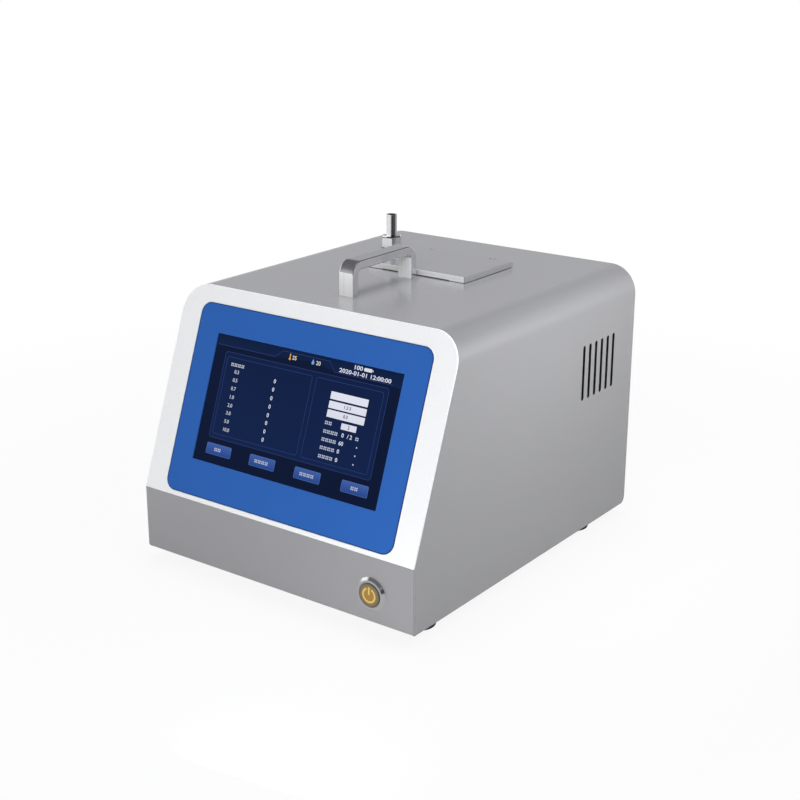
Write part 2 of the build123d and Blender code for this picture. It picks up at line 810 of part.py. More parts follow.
# Feet: tapered rubber pads, each held by a screw in its well
well_radius = large_head_radius + well_gap
well_depth = foot_height / 2
foot_names = ("front_left", "front_right", "rear_left", "rear_right")
foot_places = [(x, y) for y in foot_y for x in (-foot_x, foot_x)]
for foot_name, (x, y) in zip(foot_names, foot_places):
    with BuildPart() as foot:
        with BuildSketch(Plane.XY):
            with Locations((x, y)):
                Circle(foot_radius)
        with BuildSketch(Plane.XY.offset(foot_height)):
            with Locations((x, y)):
                Circle(foot_top_radius)
        loft()
        fillet(foot.edges().group_by(Axis.Z)[0], foot_height / 8)
        with BuildSketch(Plane.XY):
            with Locations((x, y)):
                Circle(well_radius)
        extrude(amount=well_depth, mode=Mode.SUBTRACT)
        with BuildSketch(Plane.XY.offset(well_depth)):
            with Locations((x, y)):
                Circle(large_screw_radius + thread_clearance)
        extrude(amount=foot_height, mode=Mode.SUBTRACT)
    finish(foot, f"foot_{foot_name}")
screws(
    "foot_screws",
    [facing(x, y, well_depth, (0, 0, -1)) for x, y in foot_places],
    large_head_radius, large_head_height, large_screw_radius, foot_height - well_depth + sheet + foot_screw_reach,
)
screws(
    "cover_screws",
    [facing(side * lip_screw_x, y, base_z, (0, 0, -1)) for side in (-1, 1) for y in lip_screw_y],
    small_head_radius, small_head_height, small_screw_radius, 2 * sheet + screw_reach,
)
rear_places = [(side * lip_screw_x, z) for side in (-1, 1) for z in rear_screw_z]
rear_places += [(side * rear_screw_x, z) for side in (-1, 1) for z in (rear_low_screw_z, rear_top_screw_z)]
screws(
    "rear_screws",
    [facing(x, rear_y, z, (0, 1, 0)) for x, z in rear_places],
    small_head_radius, small_head_height, small_screw_radius, 2 * sheet + screw_reach,
)

# Printer frame: a moulded tray under the opening, with the paper trough, the head ledge and two hinge ears
lid_front_y = lid_y - lid_depth / 2
lid_bottom_z = top_z + moving_gap
roller_y = lid_front_y + roller_from_lid_front
roller_z = lid_bottom_z - roller_depth
head_top_z = roller_z - roller_radius - moving_gap
ledge_z = head_top_z - head_thickness
head_y = roller_y
trough_front_y = head_y + head_depth / 2 + frame_wall
trough_rear_y = opening_rear_y - moving_gap
trough_y = (trough_front_y + trough_rear_y) / 2
trough_radius = (trough_rear_y - trough_front_y) / 2
trough_z = ledge_z - trough_radius / 2
frame_bottom_z = trough_z - trough_radius - frame_wall
frame_width = opening_width + 2 * frame_wall
frame_front_y = opening_front_y - frame_wall
frame_rear_y = lid_y + lid_depth / 2 + frame_wall
with BuildPart() as printer_frame:
    with BuildSketch(Plane.YZ.offset(printer_x - frame_width / 2)):
        with BuildLine():
            Polyline(
                (frame_front_y, ceiling_z),
                (frame_front_y, ledge_z - frame_wall),
                (trough_front_y - frame_wall, ledge_z - frame_wall),
                (trough_front_y - frame_wall, frame_bottom_z),
                (frame_rear_y, frame_bottom_z),
                (frame_rear_y, ceiling_z),
                close=True,
            )
        make_face()
    extrude(amount=frame_width)
    # upper pocket for the roller, its arms and the head
    with BuildSketch(Plane.YZ.offset(printer_x - opening_width / 2)):
        with BuildLine():
            Polyline(
                (opening_front_y, ceiling_z),
                (opening_front_y, ledge_z),
                (trough_rear_y, ledge_z),
                (trough_rear_y, ceiling_z),
                close=True,
            )
        make_face()
    extrude(amount=opening_width, mode=Mode.SUBTRACT)
    # paper trough, round at the bottom
    with BuildSketch(Plane.YZ.offset(printer_x - paper_width / 2)):
        with Locations((trough_y, trough_z)):
            Circle(trough_radius)
        with Locations((trough_y, (trough_z + ledge_z) / 2)):
            Rectangle(2 * trough_radius, ledge_z - trough_z)
    extrude(amount=paper_width, mode=Mode.SUBTRACT)
    # hinge ears
    for side in (-1, 1):
        ear_x = printer_x + side * hinge_ear_spacing / 2
        with BuildSketch(Plane.YZ.offset(ear_x - hinge_ear_width / 2)):
            with Locations((pivot_y, pivot_z)):
                Circle(lid_thickness / 2)
            with Locations((pivot_y, (pivot_z + ceiling_z) / 2)):
                Rectangle(lid_thickness, pivot_z - ceiling_z)
        extrude(amount=hinge_ear_width)
    with BuildSketch(Plane.YZ.offset(printer_x - frame_width / 2)):
        with Locations((pivot_y, pivot_z)):
            Circle(hinge_pin_radius)
    extrude(amount=frame_width, mode=Mode.SUBTRACT)
finish(printer_frame, "printer_frame")

# Hinge pins: one short pin in each ear, fast in the ear and free in the lid
pin_length = hinge_ear_width + 2 * pin_reach
with BuildPart() as lid_hinge_pins:
    for side in (-1, 1):
        ear_x = printer_x + side * hinge_ear_spacing / 2
        with BuildSketch(Plane.YZ.offset(ear_x - pin_length / 2)):
            with Locations((pivot_y, pivot_z)):
                Circle(hinge_pin_radius)
        extrude(amount=pin_length)
finish(lid_hinge_pins, "lid_hinge_pins")

# Lid: plate with a round rear edge, knuckle slots, a paper slot and two arms for the roller
arm_spacing = roller_length + 2 * moving_gap + arm_thickness
with BuildPart() as printer_lid:
    with BuildSketch(Plane.XY.offset(lid_bottom_z)) as lid_plan:
        with Locations((printer_x, lid_y)):
            Rectangle(lid_width, lid_depth)
        fillet(lid_plan.vertices().group_by(Axis.Y)[0], lid_corner_radius)
    extrude(amount=lid_thickness)
    lid_top_edges = printer_lid.edges().group_by(Axis.Z)[-1].sort_by(Axis.Y)[:-1]
    fillet(lid_top_edges, lid_edge_radius)
    lid_rear_edges = printer_lid.edges().filter_by(Axis.X).group_by(Axis.Y)[-1]
    fillet(lid_rear_edges, lid_thickness / 2 - full_round_trim)
    # arms
    for side in (-1, 1):
        arm_x = printer_x + side * arm_spacing / 2
        with BuildSketch(Plane.YZ.offset(arm_x - arm_thickness / 2)):
            with Locations((roller_y, roller_z)):
                Circle(arm_radius)
            with Locations((roller_y, (roller_z + lid_bottom_z) / 2)):
                Rectangle(2 * arm_radius, lid_bottom_z - roller_z)
        extrude(amount=arm_thickness)
    with BuildSketch(Plane.YZ.offset(printer_x - lid_width / 2)):
        with Locations((roller_y, roller_z)):
            Circle(roller_shaft_radius + running_clearance)
    extrude(amount=lid_width, mode=Mode.SUBTRACT)
    # slots that clear the hinge ears
    slot_depth = lid_thickness + moving_gap
    with BuildSketch(Plane.XY.offset(lid_bottom_z)):
        with Locations((printer_x, pivot_y + lid_thickness / 2 - slot_depth / 2)):
            with GridLocations(hinge_ear_spacing, 0, 2, 1):
                Rectangle(hinge_ear_width + 2 * moving_gap, slot_depth)
    extrude(amount=lid_thickness, mode=Mode.SUBTRACT)
    with BuildSketch(Plane.YZ.offset(printer_x - lid_width / 2 + 2 * frame_wall)):
        with Locations((pivot_y, pivot_z)):
            Circle(hinge_pin_radius + running_clearance)
    extrude(amount=lid_width - 4 * frame_wall, mode=Mode.SUBTRACT)
    # paper slot under the front edge
    with BuildSketch(Plane.XY.offset(lid_bottom_z)):
        with Locations((printer_x, (lid_front_y + roller_y) / 2)):
            Rectangle(paper_width - arm_thickness, roller_y - lid_front_y)
    extrude(amount=paper_slot_height, mode=Mode.SUBTRACT)
finish(printer_lid, "printer_lid")

# Platen roller: rubber sleeve on a steel shaft, carried by the lid's arms
shaft_length = arm_spacing + arm_thickness
with BuildPart() as platen_roller:
    with BuildSketch(Plane.YZ.offset(printer_x - roller_length / 2)):
        with Locations((roller_y, roller_z)):
            Circle(roller_radius)
            Circle(roller_shaft_radius, mode=Mode.SUBTRACT)
    extrude(amount=roller_length)
finish(platen_roller, "platen_roller")
with BuildPart() as platen_shaft:
    with BuildSketch(Plane.YZ.offset(printer_x - shaft_length / 2)):
        with Locations((roller_y, roller_z)):
            Circle(roller_shaft_radius)
    extrude(amount=shaft_length)
finish(platen_shaft, "platen_shaft")

# Thermal print head on its ledge
with BuildPart() as print_head:
    with BuildSketch(Plane.XY.offset(ledge_z)):
        with Locations((printer_x, head_y)):
            RectangleRounded(roller_length, head_depth, head_thickness / 3)
    extrude(amount=head_thickness)
    chamfer(print_head.edges().filter_by(Axis.X).group_by(Axis.Z)[-1], head_thickness / 4)
finish(print_head, "print_head")

# Printer motor on the left wall of the frame
motor_x = printer_x - frame_width / 2
motor_y = trough_front_y + motor_radius
motor_z = ledge_z - motor_radius
with BuildPart() as print_motor:
    with BuildSketch(Plane.YZ.offset(motor_x)):
        with Locations((motor_y, motor_z)):
            Circle(motor_radius)
    extrude(amount=-motor_length)
    with BuildSketch(Plane.YZ.offset(motor_x)):
        with Locations((motor_y, motor_z)):
            SlotOverall(motor_flange_length, motor_radius, rotation=90)
    extrude(amount=-motor_flange_thickness)
finish(print_motor, "print_motor")

# Cooling fan behind the right-hand vents
fan_outer_x = inner_half_width - moving_gap
fan_inner_x = fan_outer_x - fan_depth
with BuildPart() as fan_frame:
    with BuildSketch(Plane.YZ.offset(fan_inner_x)):
        with Locations((vent_y, vent_z)):
            RectangleRounded(fan_size, fan_size, (fan_size - fan_hole_spacing) / 2)
            Circle(fan_bore_radius, mode=Mode.SUBTRACT)
            with GridLocations(fan_hole_spacing, fan_hole_spacing, 2, 2):
                Circle(small_screw_radius + hole_clearance, mode=Mode.SUBTRACT)
    extrude(amount=fan_depth)
    with BuildSketch(Plane.YZ.offset(fan_inner_x)):
        with Locations((vent_y, vent_z)):
            Circle(fan_hub_radius)
            with PolarLocations((fan_hub_radius + fan_bore_radius) / 2, 3):
                Rectangle(fan_bore_radius - fan_hub_radius + 2, fan_back_thickness)
    extrude(amount=fan_back_thickness)
    with BuildSketch(Plane.YZ.offset(fan_inner_x)):
        with Locations((vent_y, vent_z)):
            Circle(fan_shaft_radius + running_clearance)
    extrude(amount=fan_back_thickness, mode=Mode.SUBTRACT)
finish(fan_frame, "fan_frame")

rotor_x = fan_inner_x + fan_back_thickness + moving_gap
rotor_length = fan_outer_x - rotor_x - moving_gap
blade_tip_radius = fan_bore_radius - fan_tip_gap
rotor_plane = Plane(origin=(rotor_x, vent_y, vent_z), x_dir=(0, 1, 0), z_dir=(1, 0, 0))
with BuildPart() as fan_rotor:
    with Locations(rotor_plane.offset(rotor_length / 2)):
        with PolarLocations(0, fan_blades):
            with Locations(Location((blade_tip_radius / 2, 0, 0), (fan_blade_pitch, 0, 0))):
                Box(blade_tip_radius, fan_blade_thickness, 2 * rotor_length)
    with BuildSketch(rotor_plane):
        Circle(blade_tip_radius)
    extrude(amount=rotor_length, mode=Mode.INTERSECT)
    with BuildSketch(rotor_plane):
        Circle(fan_hub_radius)
    extrude(amount=rotor_length)
    with BuildSketch(rotor_plane):
        Circle(fan_shaft_radius)
    extrude(amount=-(fan_back_thickness + moving_gap))
finish(fan_rotor, "fan_rotor")

with BuildPart() as fan_nuts:
    with BuildSketch(Plane.YZ.offset(fan_inner_x)):
        with Locations((vent_y, vent_z)):
            with GridLocations(fan_hole_spacing, fan_hole_spacing, 2, 2):
                RegularPolygon(small_head_radius, 6)
                Circle(small_screw_radius + thread_clearance, mode=Mode.SUBTRACT)
    extrude(amount=-small_head_height)
finish(fan_nuts, "fan_nuts")

# Exhaust: a threaded plug with a porous dome outside and a hose barb inside
hose_radius = barb_radius + hose_wall
hose_bore_radius = barb_radius + thread_clearance
exhaust_shank_y = panel_y - nut_height - hose_gap
exhaust_barb_y = exhaust_shank_y - barb_length
with BuildPart() as exhaust_port:
    with BuildSketch(Plane.XZ.offset(-rear_y)):
        with Locations((exhaust_x, exhaust_z)):
            RegularPolygon(exhaust_flange_radius, 6, major_radius=False)
    extrude(amount=-exhaust_flange_height)
    with BuildSketch(Plane.XZ.offset(-rear_y)):
        with Locations((exhaust_x, exhaust_z)):
            Circle(exhaust_thread_radius)
    extrude(amount=-(exhaust_flange_height + exhaust_plug_height))
    fillet(exhaust_port.edges().sort_by(Axis.Y)[-1], exhaust_plug_height / 2)
    with BuildSketch(Plane.XZ.offset(-rear_y)):
        with Locations((exhaust_x, exhaust_z)):
            Circle(exhaust_thread_radius)
    extrude(amount=rear_y - exhaust_shank_y)
    with BuildSketch(Plane.XZ.offset(-exhaust_shank_y)):
        with Locations((exhaust_x, exhaust_z)):
            Circle(barb_radius)
    extrude(amount=barb_length)
    with BuildSketch(Plane.XZ.offset(-exhaust_barb_y)):
        with Locations((exhaust_x, exhaust_z)):
            Circle(passage_radius)
    extrude(amount=-(rear_y - exhaust_barb_y), mode=Mode.SUBTRACT)
finish(exhaust_port, "exhaust_port")

with BuildPart() as exhaust_nut:
    with BuildSketch(Plane.XZ.offset(-panel_y)):
        with Locations((exhaust_x, exhaust_z)):
            RegularPolygon(exhaust_flange_radius, 6, major_radius=False)
            Circle(exhaust_thread_radius + thread_clearance, mode=Mode.SUBTRACT)
    extrude(amount=nut_height)
finish(exhaust_nut, "exhaust_nut")

# Charging socket with a centre pin, held by a nut
with BuildPart() as charging_socket:
    with BuildSketch(Plane.XZ.offset(-rear_y)):
        with Locations((socket_x, socket_z)):
            Circle(socket_flange_radius)
    extrude(amount=-sheet)
    with BuildSketch(Plane.XZ.offset(-rear_y)):
        with Locations((socket_x, socket_z)):
            Circle(socket_radius)
    extrude(amount=socket_length)
    with BuildSketch(Plane.XZ.offset(-rear_y - sheet)):
        with Locations((socket_x, socket_z)):
            Circle(socket_bore_radius)
            Circle(socket_pin_radius, mode=Mode.SUBTRACT)
    extrude(amount=socket_length - sheet, mode=Mode.SUBTRACT)
finish(charging_socket, "charging_socket")

with BuildPart() as socket_nut:
    with BuildSketch(Plane.XZ.offset(-panel_y)):
        with Locations((socket_x, socket_z)):
            RegularPolygon(socket_nut_width / 2, 6, major_radius=False)
            Circle(socket_radius + thread_clearance, mode=Mode.SUBTRACT)
    extrude(amount=2 * sheet)
finish(socket_nut, "socket_nut")

# Serial port: nine-way connector with a D-shaped shell
port_face_y = rear_y + port_proud
serial_z = port_z + port_height / 2
with BuildPart() as serial_port:
    with BuildSketch(Plane.XZ.offset(-port_face_y)):
        with Locations((serial_x, serial_z)):
            Rectangle(serial_width, port_height)
    extrude(amount=port_depth)
    with BuildSketch(Plane.XZ.offset(-port_face_y)):
        with Locations((serial_x, serial_z)):
            Trapezoid(serial_shell_width, serial_shell_height, serial_shell_slant, rotation=180)
    extrude(amount=-serial_shell_length)
    fillet(serial_port.edges().filter_by(Axis.Y).group_by(Axis.Y)[-1], serial_shell_corner)
    with BuildSketch(Plane.XZ.offset(-port_face_y - serial_shell_length)):
        with Locations((serial_x, serial_z + serial_pin_pitch / 2)):
            with GridLocations(serial_pin_pitch, 0, 5, 1):
                Circle(serial_pin_pitch / 5)
        with Locations((serial_x, serial_z - serial_pin_pitch / 2)):
            with GridLocations(serial_pin_pitch, 0, 4, 1):
                Circle(serial_pin_pitch / 5)
    extrude(amount=serial_shell_length, mode=Mode.SUBTRACT)
    with BuildSketch(Plane.XZ.offset(-port_face_y)):
        with Locations((serial_x, serial_z)):
            with GridLocations(serial_width - 2 * small_head_radius - hole_clearance, 0, 2, 1):
                RegularPolygon(small_head_radius - hole_clearance, 6)
                Circle(small_screw_radius, mode=Mode.SUBTRACT)
    extrude(amount=-small_head_height)
finish(serial_port, "serial_port")

# USB port: open metal shell with a contact tongue
usb_z = port_z + usb_height / 2
with BuildPart() as usb_port:
    with BuildSketch(Plane.XZ.offset(-port_face_y)):
        with Locations((usb_x, usb_z)):
            Rectangle(usb_width, usb_height)
    extrude(amount=port_depth)
    with BuildSketch(Plane.XZ.offset(-port_face_y)):
        with Locations((usb_x, usb_z)):
            Rectangle(usb_width - 2 * usb_wall, usb_height - 2 * usb_wall)
        with Locations((usb_x, usb_z + usb_height / 5)):
            Rectangle(usb_width - 4 * usb_wall, usb_height / 3, mode=Mode.SUBTRACT)
    extrude(amount=port_depth - sheet, mode=Mode.SUBTRACT)
finish(usb_port, "usb_port")

# Main board on snap-in supports
main_board_y = port_face_y - port_depth + hose_gap - main_board_depth / 2
main_hole_x = main_board_width - 2 * board_hole_inset
main_hole_y = main_board_depth - 2 * board_hole_inset
with BuildPart() as main_board:
    with BuildSketch(Plane.XY.offset(board_z)):
        with Locations((main_board_x, main_board_y)):
            RectangleRounded(main_board_width, main_board_depth, board_corner)
            with GridLocations(main_hole_x, main_hole_y, 2, 2):
                Circle(support_neck_radius + hole_clearance, mode=Mode.SUBTRACT)
    extrude(amount=board_thickness)
    with BuildSketch(Plane.XY.offset(port_z)):
        with Locations((main_board_x, main_board_y)):
            Rectangle(processor_size, processor_size)
            with GridLocations(main_board_width / 2, main_board_depth / 2, 2, 2):
                Rectangle(processor_size / 2, processor_size)
    extrude(amount=chip_height)
finish(main_board, "main_board")

with BuildPart() as board_supports:
    for radius, low_z, high_z in (
        (support_radius, floor_z, board_z),
        (support_neck_radius, board_z, port_z),
        (support_head_radius, port_z, port_z + support_head_height),
    ):
        with BuildSketch(Plane.XY.offset(low_z)):
            with Locations((main_board_x, main_board_y)):
                with GridLocations(main_hole_x, main_hole_y, 2, 2):
                    Circle(radius)
        extrude(amount=high_z - low_z)
finish(board_supports, "board_supports")

# Optical sensor block: the air goes straight down through it, past a beam from the front
sensor_z = floor_z + sensor_lift
sensor_top_z = sensor_z + sensor_height
sensor_front_y = inlet_y - sensor_depth / 2
laser_z = sensor_z + sensor_height / 2
sensor_post_x = sensor_width - 2 * sensor_post_inset
sensor_post_y = sensor_depth - 2 * sensor_post_inset
with BuildPart() as sensor_block:
    with BuildSketch(Plane.XY.offset(sensor_z)):
        with Locations((inlet_x, inlet_y)):
            RectangleRounded(sensor_width, sensor_depth, board_corner)
    extrude(amount=sensor_height)
    with BuildSketch(Plane.XY.offset(sensor_z - barb_length)):
        with Locations((inlet_x, inlet_y)):
            Circle(barb_radius)
    extrude(amount=sensor_height + 2 * barb_length)
    with BuildSketch(Plane.XY.offset(sensor_z - barb_length)):
        with Locations((inlet_x, inlet_y)):
            Circle(passage_radius)
    extrude(amount=sensor_height + 2 * barb_length, mode=Mode.SUBTRACT)
    with BuildSketch(Plane.XZ.offset(-sensor_front_y)):
        with Locations((inlet_x, laser_z)):
            Circle(laser_radius + running_clearance)
    extrude(amount=-laser_seat, mode=Mode.SUBTRACT)
    with BuildSketch(Plane.XZ.offset(-sensor_front_y)):
        with Locations((inlet_x, laser_z)):
            Circle(beam_radius)
    extrude(amount=-(sensor_depth / 2 + laser_seat), mode=Mode.SUBTRACT)
    with BuildSketch(Plane.XY.offset(sensor_z)):
        with Locations((inlet_x, inlet_y)):
            with GridLocations(sensor_post_x, sensor_post_y, 2, 2):
                Circle(small_screw_radius + thread_clearance)
    extrude(amount=post_thread_length + hose_gap, mode=Mode.SUBTRACT)
finish(sensor_block, "sensor_block")

with BuildPart() as sensor_posts:
    for radius, height in (
        (post_radius, sensor_lift),
        (small_screw_radius, sensor_lift + post_thread_length),
    ):
        with BuildSketch(Plane.XY.offset(floor_z)):
            with Locations((inlet_x, inlet_y)):
                with GridLocations(sensor_post_x, sensor_post_y, 2, 2):
                    Circle(radius)
        extrude(amount=height)
finish(sensor_posts, "sensor_posts")

with BuildPart() as laser_module:
    with BuildSketch(Plane.XZ.offset(-(sensor_front_y + laser_seat))):
        with Locations((inlet_x, laser_z)):
            Circle(laser_radius)
            Circle(beam_radius, mode=Mode.SUBTRACT)
    extrude(amount=laser_length)
    laser_end = laser_module.edges().filter_by(GeomType.CIRCLE).group_by(Axis.Y)[0]
    chamfer(laser_end.sort_by(SortBy.LENGTH)[-1], laser_bevel)
finish(laser_module, "laser_module")

# Detector board on the inner side of the block
detector_x = inlet_x + sensor_width / 2
with BuildPart() as detector_board:
    with BuildSketch(Plane.YZ.offset(detector_x)):
        with Locations((inlet_y, laser_z)):
            RectangleRounded(detector_width, detector_height, board_corner)
    extrude(amount=board_thickness)
    with BuildSketch(Plane.YZ.offset(detector_x + board_thickness)):
        with Locations((inlet_y, laser_z)):
            Rectangle(detector_width / 3, detector_height / 3)
    extrude(amount=chip_height)
finish(detector_board, "detector_board")

# Sample hose from the inlet fitting straight down to the sensor
with BuildPart() as sample_hose:
    with BuildSketch(Plane.XY.offset(sensor_top_z + hose_gap)):
        with Locations((inlet_x, inlet_y)):
            Circle(hose_radius)
            Circle(hose_bore_radius, mode=Mode.SUBTRACT)
    extrude(amount=fitting_foot_z - sensor_top_z - 2 * hose_gap)
finish(sample_hose, "sample_hose")

# Vacuum pump: diaphragm head on the base, motor in front of it, two barbs at the rear
pump_z = floor_z + pump_head_size / 2
pump_rear_y = pump_y + pump_head_length
with BuildPart() as vacuum_pump:
    with BuildSketch(Plane.XZ.offset(-pump_y)):
        with Locations((pump_x, pump_z)):
            RectangleRounded(pump_head_size, pump_head_size, board_corner)
    extrude(amount=-pump_head_length)
    with BuildSketch(Plane.XZ.offset(-pump_y)):
        with Locations((pump_x, pump_z)):
            Circle(pump_motor_radius)
    extrude(amount=pump_motor_length)
    chamfer(vacuum_pump.edges().filter_by(GeomType.CIRCLE).sort_by(Axis.Y)[0], hose_gap)
    with BuildSketch(Plane.XZ.offset(-pump_rear_y)):
        with Locations((pump_x, pump_z)):
            with GridLocations(pump_port_spacing, 0, 2, 1):
                Circle(barb_radius)
    extrude(amount=-barb_length)
    with BuildSketch(Plane.XZ.offset(-(pump_rear_y + barb_length))):
        with Locations((pump_x, pump_z)):
            with GridLocations(pump_port_spacing, 0, 2, 1):
                Circle(passage_radius)
    extrude(amount=2 * barb_length, mode=Mode.SUBTRACT)
    with BuildSketch(Plane.XY.offset(floor_z)):
        with Locations((pump_x, pump_screw_y)):
            with GridLocations(pump_head_size / 2, 0, 2, 1):
                Circle(small_screw_radius + thread_clearance)
    extrude(amount=nut_height + hose_gap, mode=Mode.SUBTRACT)
finish(vacuum_pump, "vacuum_pump")

# Pump hose from the foot of the sensor, one bend, to the pump
with BuildPart() as pump_hose:
    with BuildLine(Plane.YZ.offset(inlet_x)) as pump_path:
        FilletPolyline(
            (inlet_y, sensor_z - hose_gap),
            (inlet_y, pump_z),
            (pump_rear_y + hose_gap, pump_z),
            radius=hose_bend,
        )
    with BuildSketch(Plane(origin=pump_path.line @ 0, z_dir=pump_path.line % 0)):
        Circle(hose_radius)
        Circle(hose_bore_radius, mode=Mode.SUBTRACT)
    sweep()
finish(pump_hose, "pump_hose")

# Exhaust filter capsule, with a barb at each end
filter_front_y = filter_y - filter_length / 2
filter_rear_y = filter_y + filter_length / 2
filter_axis = Axis((exhaust_x, 0, exhaust_z), (0, 1, 0))
filter_plane = Plane(origin=(exhaust_x, 0, exhaust_z), x_dir=(1, 0, 0), z_dir=(0, 0, 1))
with BuildPart() as hepa_filter:
    with BuildSketch(filter_plane):
        with BuildLine():
            Polyline(
                (passage_radius, filter_front_y - barb_length),
                (barb_radius, filter_front_y - barb_length),
                (barb_radius, filter_front_y),
                (filter_radius - filter_bevel, filter_front_y),
                (filter_radius, filter_front_y + filter_bevel),
                (filter_radius, filter_rear_y - filter_bevel),
                (filter_radius - filter_bevel, filter_rear_y),
                (barb_radius, filter_rear_y),
                (barb_radius, filter_rear_y + barb_length),
                (passage_radius, filter_rear_y + barb_length),
                close=True,
            )
        make_face()
    revolve(axis=filter_axis)
finish(hepa_filter, "hepa_filter")

# Spring clip that holds the filter over the base
clip_radius = filter_radius + thread_clearance
with BuildPart() as filter_clip:
    with BuildSketch(Plane.XZ.offset(-(filter_y + clip_depth / 2))):
        with Locations((exhaust_x, exhaust_z)):
            Circle(clip_radius + sheet)
        with Locations((exhaust_x, (floor_z + exhaust_z) / 2)):
            Rectangle(clip_foot_width / 3, exhaust_z - floor_z)
        with Locations((exhaust_x, floor_z + sheet / 2)):
            Rectangle(clip_foot_width, sheet)
        with Locations((exhaust_x, exhaust_z)):
            Circle(clip_radius, mode=Mode.SUBTRACT)
        with Locations((exhaust_x, exhaust_z + filter_radius)):
            Rectangle(2 * filter_radius, filter_radius, mode=Mode.SUBTRACT)
    extrude(amount=clip_depth)
    with BuildSketch(Plane.XY.offset(floor_z)):
        with Locations((exhaust_x, filter_y)):
            with GridLocations(2 * clip_screw_x, 0, 2, 1):
                Circle(small_screw_radius + thread_clearance)
    extrude(amount=sheet, mode=Mode.SUBTRACT)
finish(filter_clip, "filter_clip")

# Filter hose: out of the pump, across at a slant and into the filter, with two bends
hose_start_y = pump_rear_y + hose_gap
hose_run = filter_front_y - hose_gap - hose_start_y
outlet_x = pump_x + pump_port_spacing / 2
hose_shift = hypot(exhaust_x - outlet_x, exhaust_z - pump_z)
hose_plane = Plane(
    origin=(outlet_x, hose_start_y, pump_z),
    x_dir=(0, 1, 0),
    z_dir=(exhaust_z - pump_z, 0, outlet_x - exhaust_x),
)
with BuildPart() as filter_hose:
    with BuildLine(hose_plane) as filter_path:
        FilletPolyline(
            (0, 0),
            (hose_run / 2, 0),
            (hose_run / 2, hose_shift),
            (hose_run, hose_shift),
            radius=hose_bend,
        )
    with BuildSketch(Plane(origin=filter_path.line @ 0, z_dir=filter_path.line % 0)):
        Circle(hose_radius)
        Circle(hose_bore_radius, mode=Mode.SUBTRACT)
    sweep()
finish(filter_hose, "filter_hose")

with BuildPart() as exhaust_hose:
    with BuildSketch(Plane.XZ.offset(-(filter_rear_y + hose_gap))):
        with Locations((exhaust_x, exhaust_z)):
            Circle(hose_radius)
            Circle(hose_bore_radius, mode=Mode.SUBTRACT)
    extrude(amount=-(exhaust_shank_y - filter_rear_y - 2 * hose_gap))
finish(exhaust_hose, "exhaust_hose")

# Battery pack: round cells side by side in a shrink sleeve, under a screwed strap
with BuildPart() as battery_pack:
    battery_z = floor_z + battery_height / 2
    with BuildSketch(Plane.XZ.offset(-(battery_y + cell_length / 2))):
        with Locations((battery_x, battery_z)):
            with GridLocations(2 * cell_radius, 2 * cell_radius, cells_across, cells_high):
                Circle(cell_radius)
            Rectangle(battery_width - 2 * cell_radius, battery_height - cell_radius)
            Rectangle(battery_width - cell_radius, battery_height - 2 * cell_radius)
    extrude(amount=cell_length)
finish(battery_pack, "battery_pack")

strap_top_z = floor_z + battery_height + battery_fit
with BuildPart() as battery_strap:
    with BuildSketch(Plane.XZ.offset(-(battery_y + strap_depth / 2))):
        with Locations((battery_x, (floor_z + strap_top_z + sheet) / 2)):
            Rectangle(battery_width + 2 * (battery_fit + sheet), strap_top_z + sheet - floor_z)
        with Locations((battery_x, floor_z + sheet / 2)):
            Rectangle(battery_width + 2 * (battery_fit + strap_foot), sheet)
        with Locations((battery_x, (floor_z + strap_top_z) / 2)):
            Rectangle(battery_width + 2 * battery_fit, strap_top_z - floor_z, mode=Mode.SUBTRACT)
    extrude(amount=strap_depth)
    with BuildSketch(Plane.XY.offset(floor_z)):
        with Locations((battery_x, battery_y)):
            with GridLocations(2 * strap_foot_x, 0, 2, 1):
                Circle(small_screw_radius + thread_clearance)
    extrude(amount=sheet, mode=Mode.SUBTRACT)
finish(battery_strap, "battery_strap")

screws(
    "base_screws",
    [facing(x, y, base_z, (0, 0, -1)) for x, y in base_screw_places],
    small_head_radius, small_head_height, small_screw_radius, 2 * sheet + screw_reach,
)
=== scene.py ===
import json
import bmesh
import bpy
import numpy as np
from math import radians
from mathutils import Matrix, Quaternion, Vector


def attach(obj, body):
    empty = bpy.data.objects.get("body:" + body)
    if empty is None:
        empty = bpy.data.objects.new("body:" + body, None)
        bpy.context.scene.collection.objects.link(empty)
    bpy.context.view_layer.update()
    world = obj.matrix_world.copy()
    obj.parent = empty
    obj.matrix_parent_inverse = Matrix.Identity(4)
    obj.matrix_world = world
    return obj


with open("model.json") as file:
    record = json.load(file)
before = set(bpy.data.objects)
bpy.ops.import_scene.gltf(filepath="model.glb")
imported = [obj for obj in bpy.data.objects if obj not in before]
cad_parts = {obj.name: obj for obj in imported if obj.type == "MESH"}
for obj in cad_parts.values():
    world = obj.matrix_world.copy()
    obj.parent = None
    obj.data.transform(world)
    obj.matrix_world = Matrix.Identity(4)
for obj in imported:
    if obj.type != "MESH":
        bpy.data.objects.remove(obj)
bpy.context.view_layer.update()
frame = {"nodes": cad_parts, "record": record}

cadNodes = frame["nodes"]
millimetre = 0.001
print("frame loaded:", len(cadNodes), "nodes")


view = {
    "position": (0.5772, -0.7829, 0.4263),
    "target": (0.01175, -0.01115, 0.1070),
    "lens": 65.7,
    "sensor": 36.0,
    "rollDegrees": 0.21,
}


def makeCamera():
    data = bpy.data.cameras.new("camera")
    data.lens = view["lens"]
    data.sensor_width = view["sensor"]
    camera = bpy.data.objects.new("camera", data)
    bpy.context.scene.collection.objects.link(camera)
    lookDirection = Vector(view["target"]) - Vector(view["position"])
    rollTurn = Quaternion((0, 0, 1), radians(view["rollDegrees"]))
    camera.rotation_mode = "QUATERNION"
    camera.rotation_quaternion = lookDirection.to_track_quat("-Z", "Y") @ rollTurn
    camera.location = view["position"]
    bpy.context.scene.camera = camera
    bpy.context.scene.view_settings.view_transform = "Standard"


makeCamera()
print("camera placed")


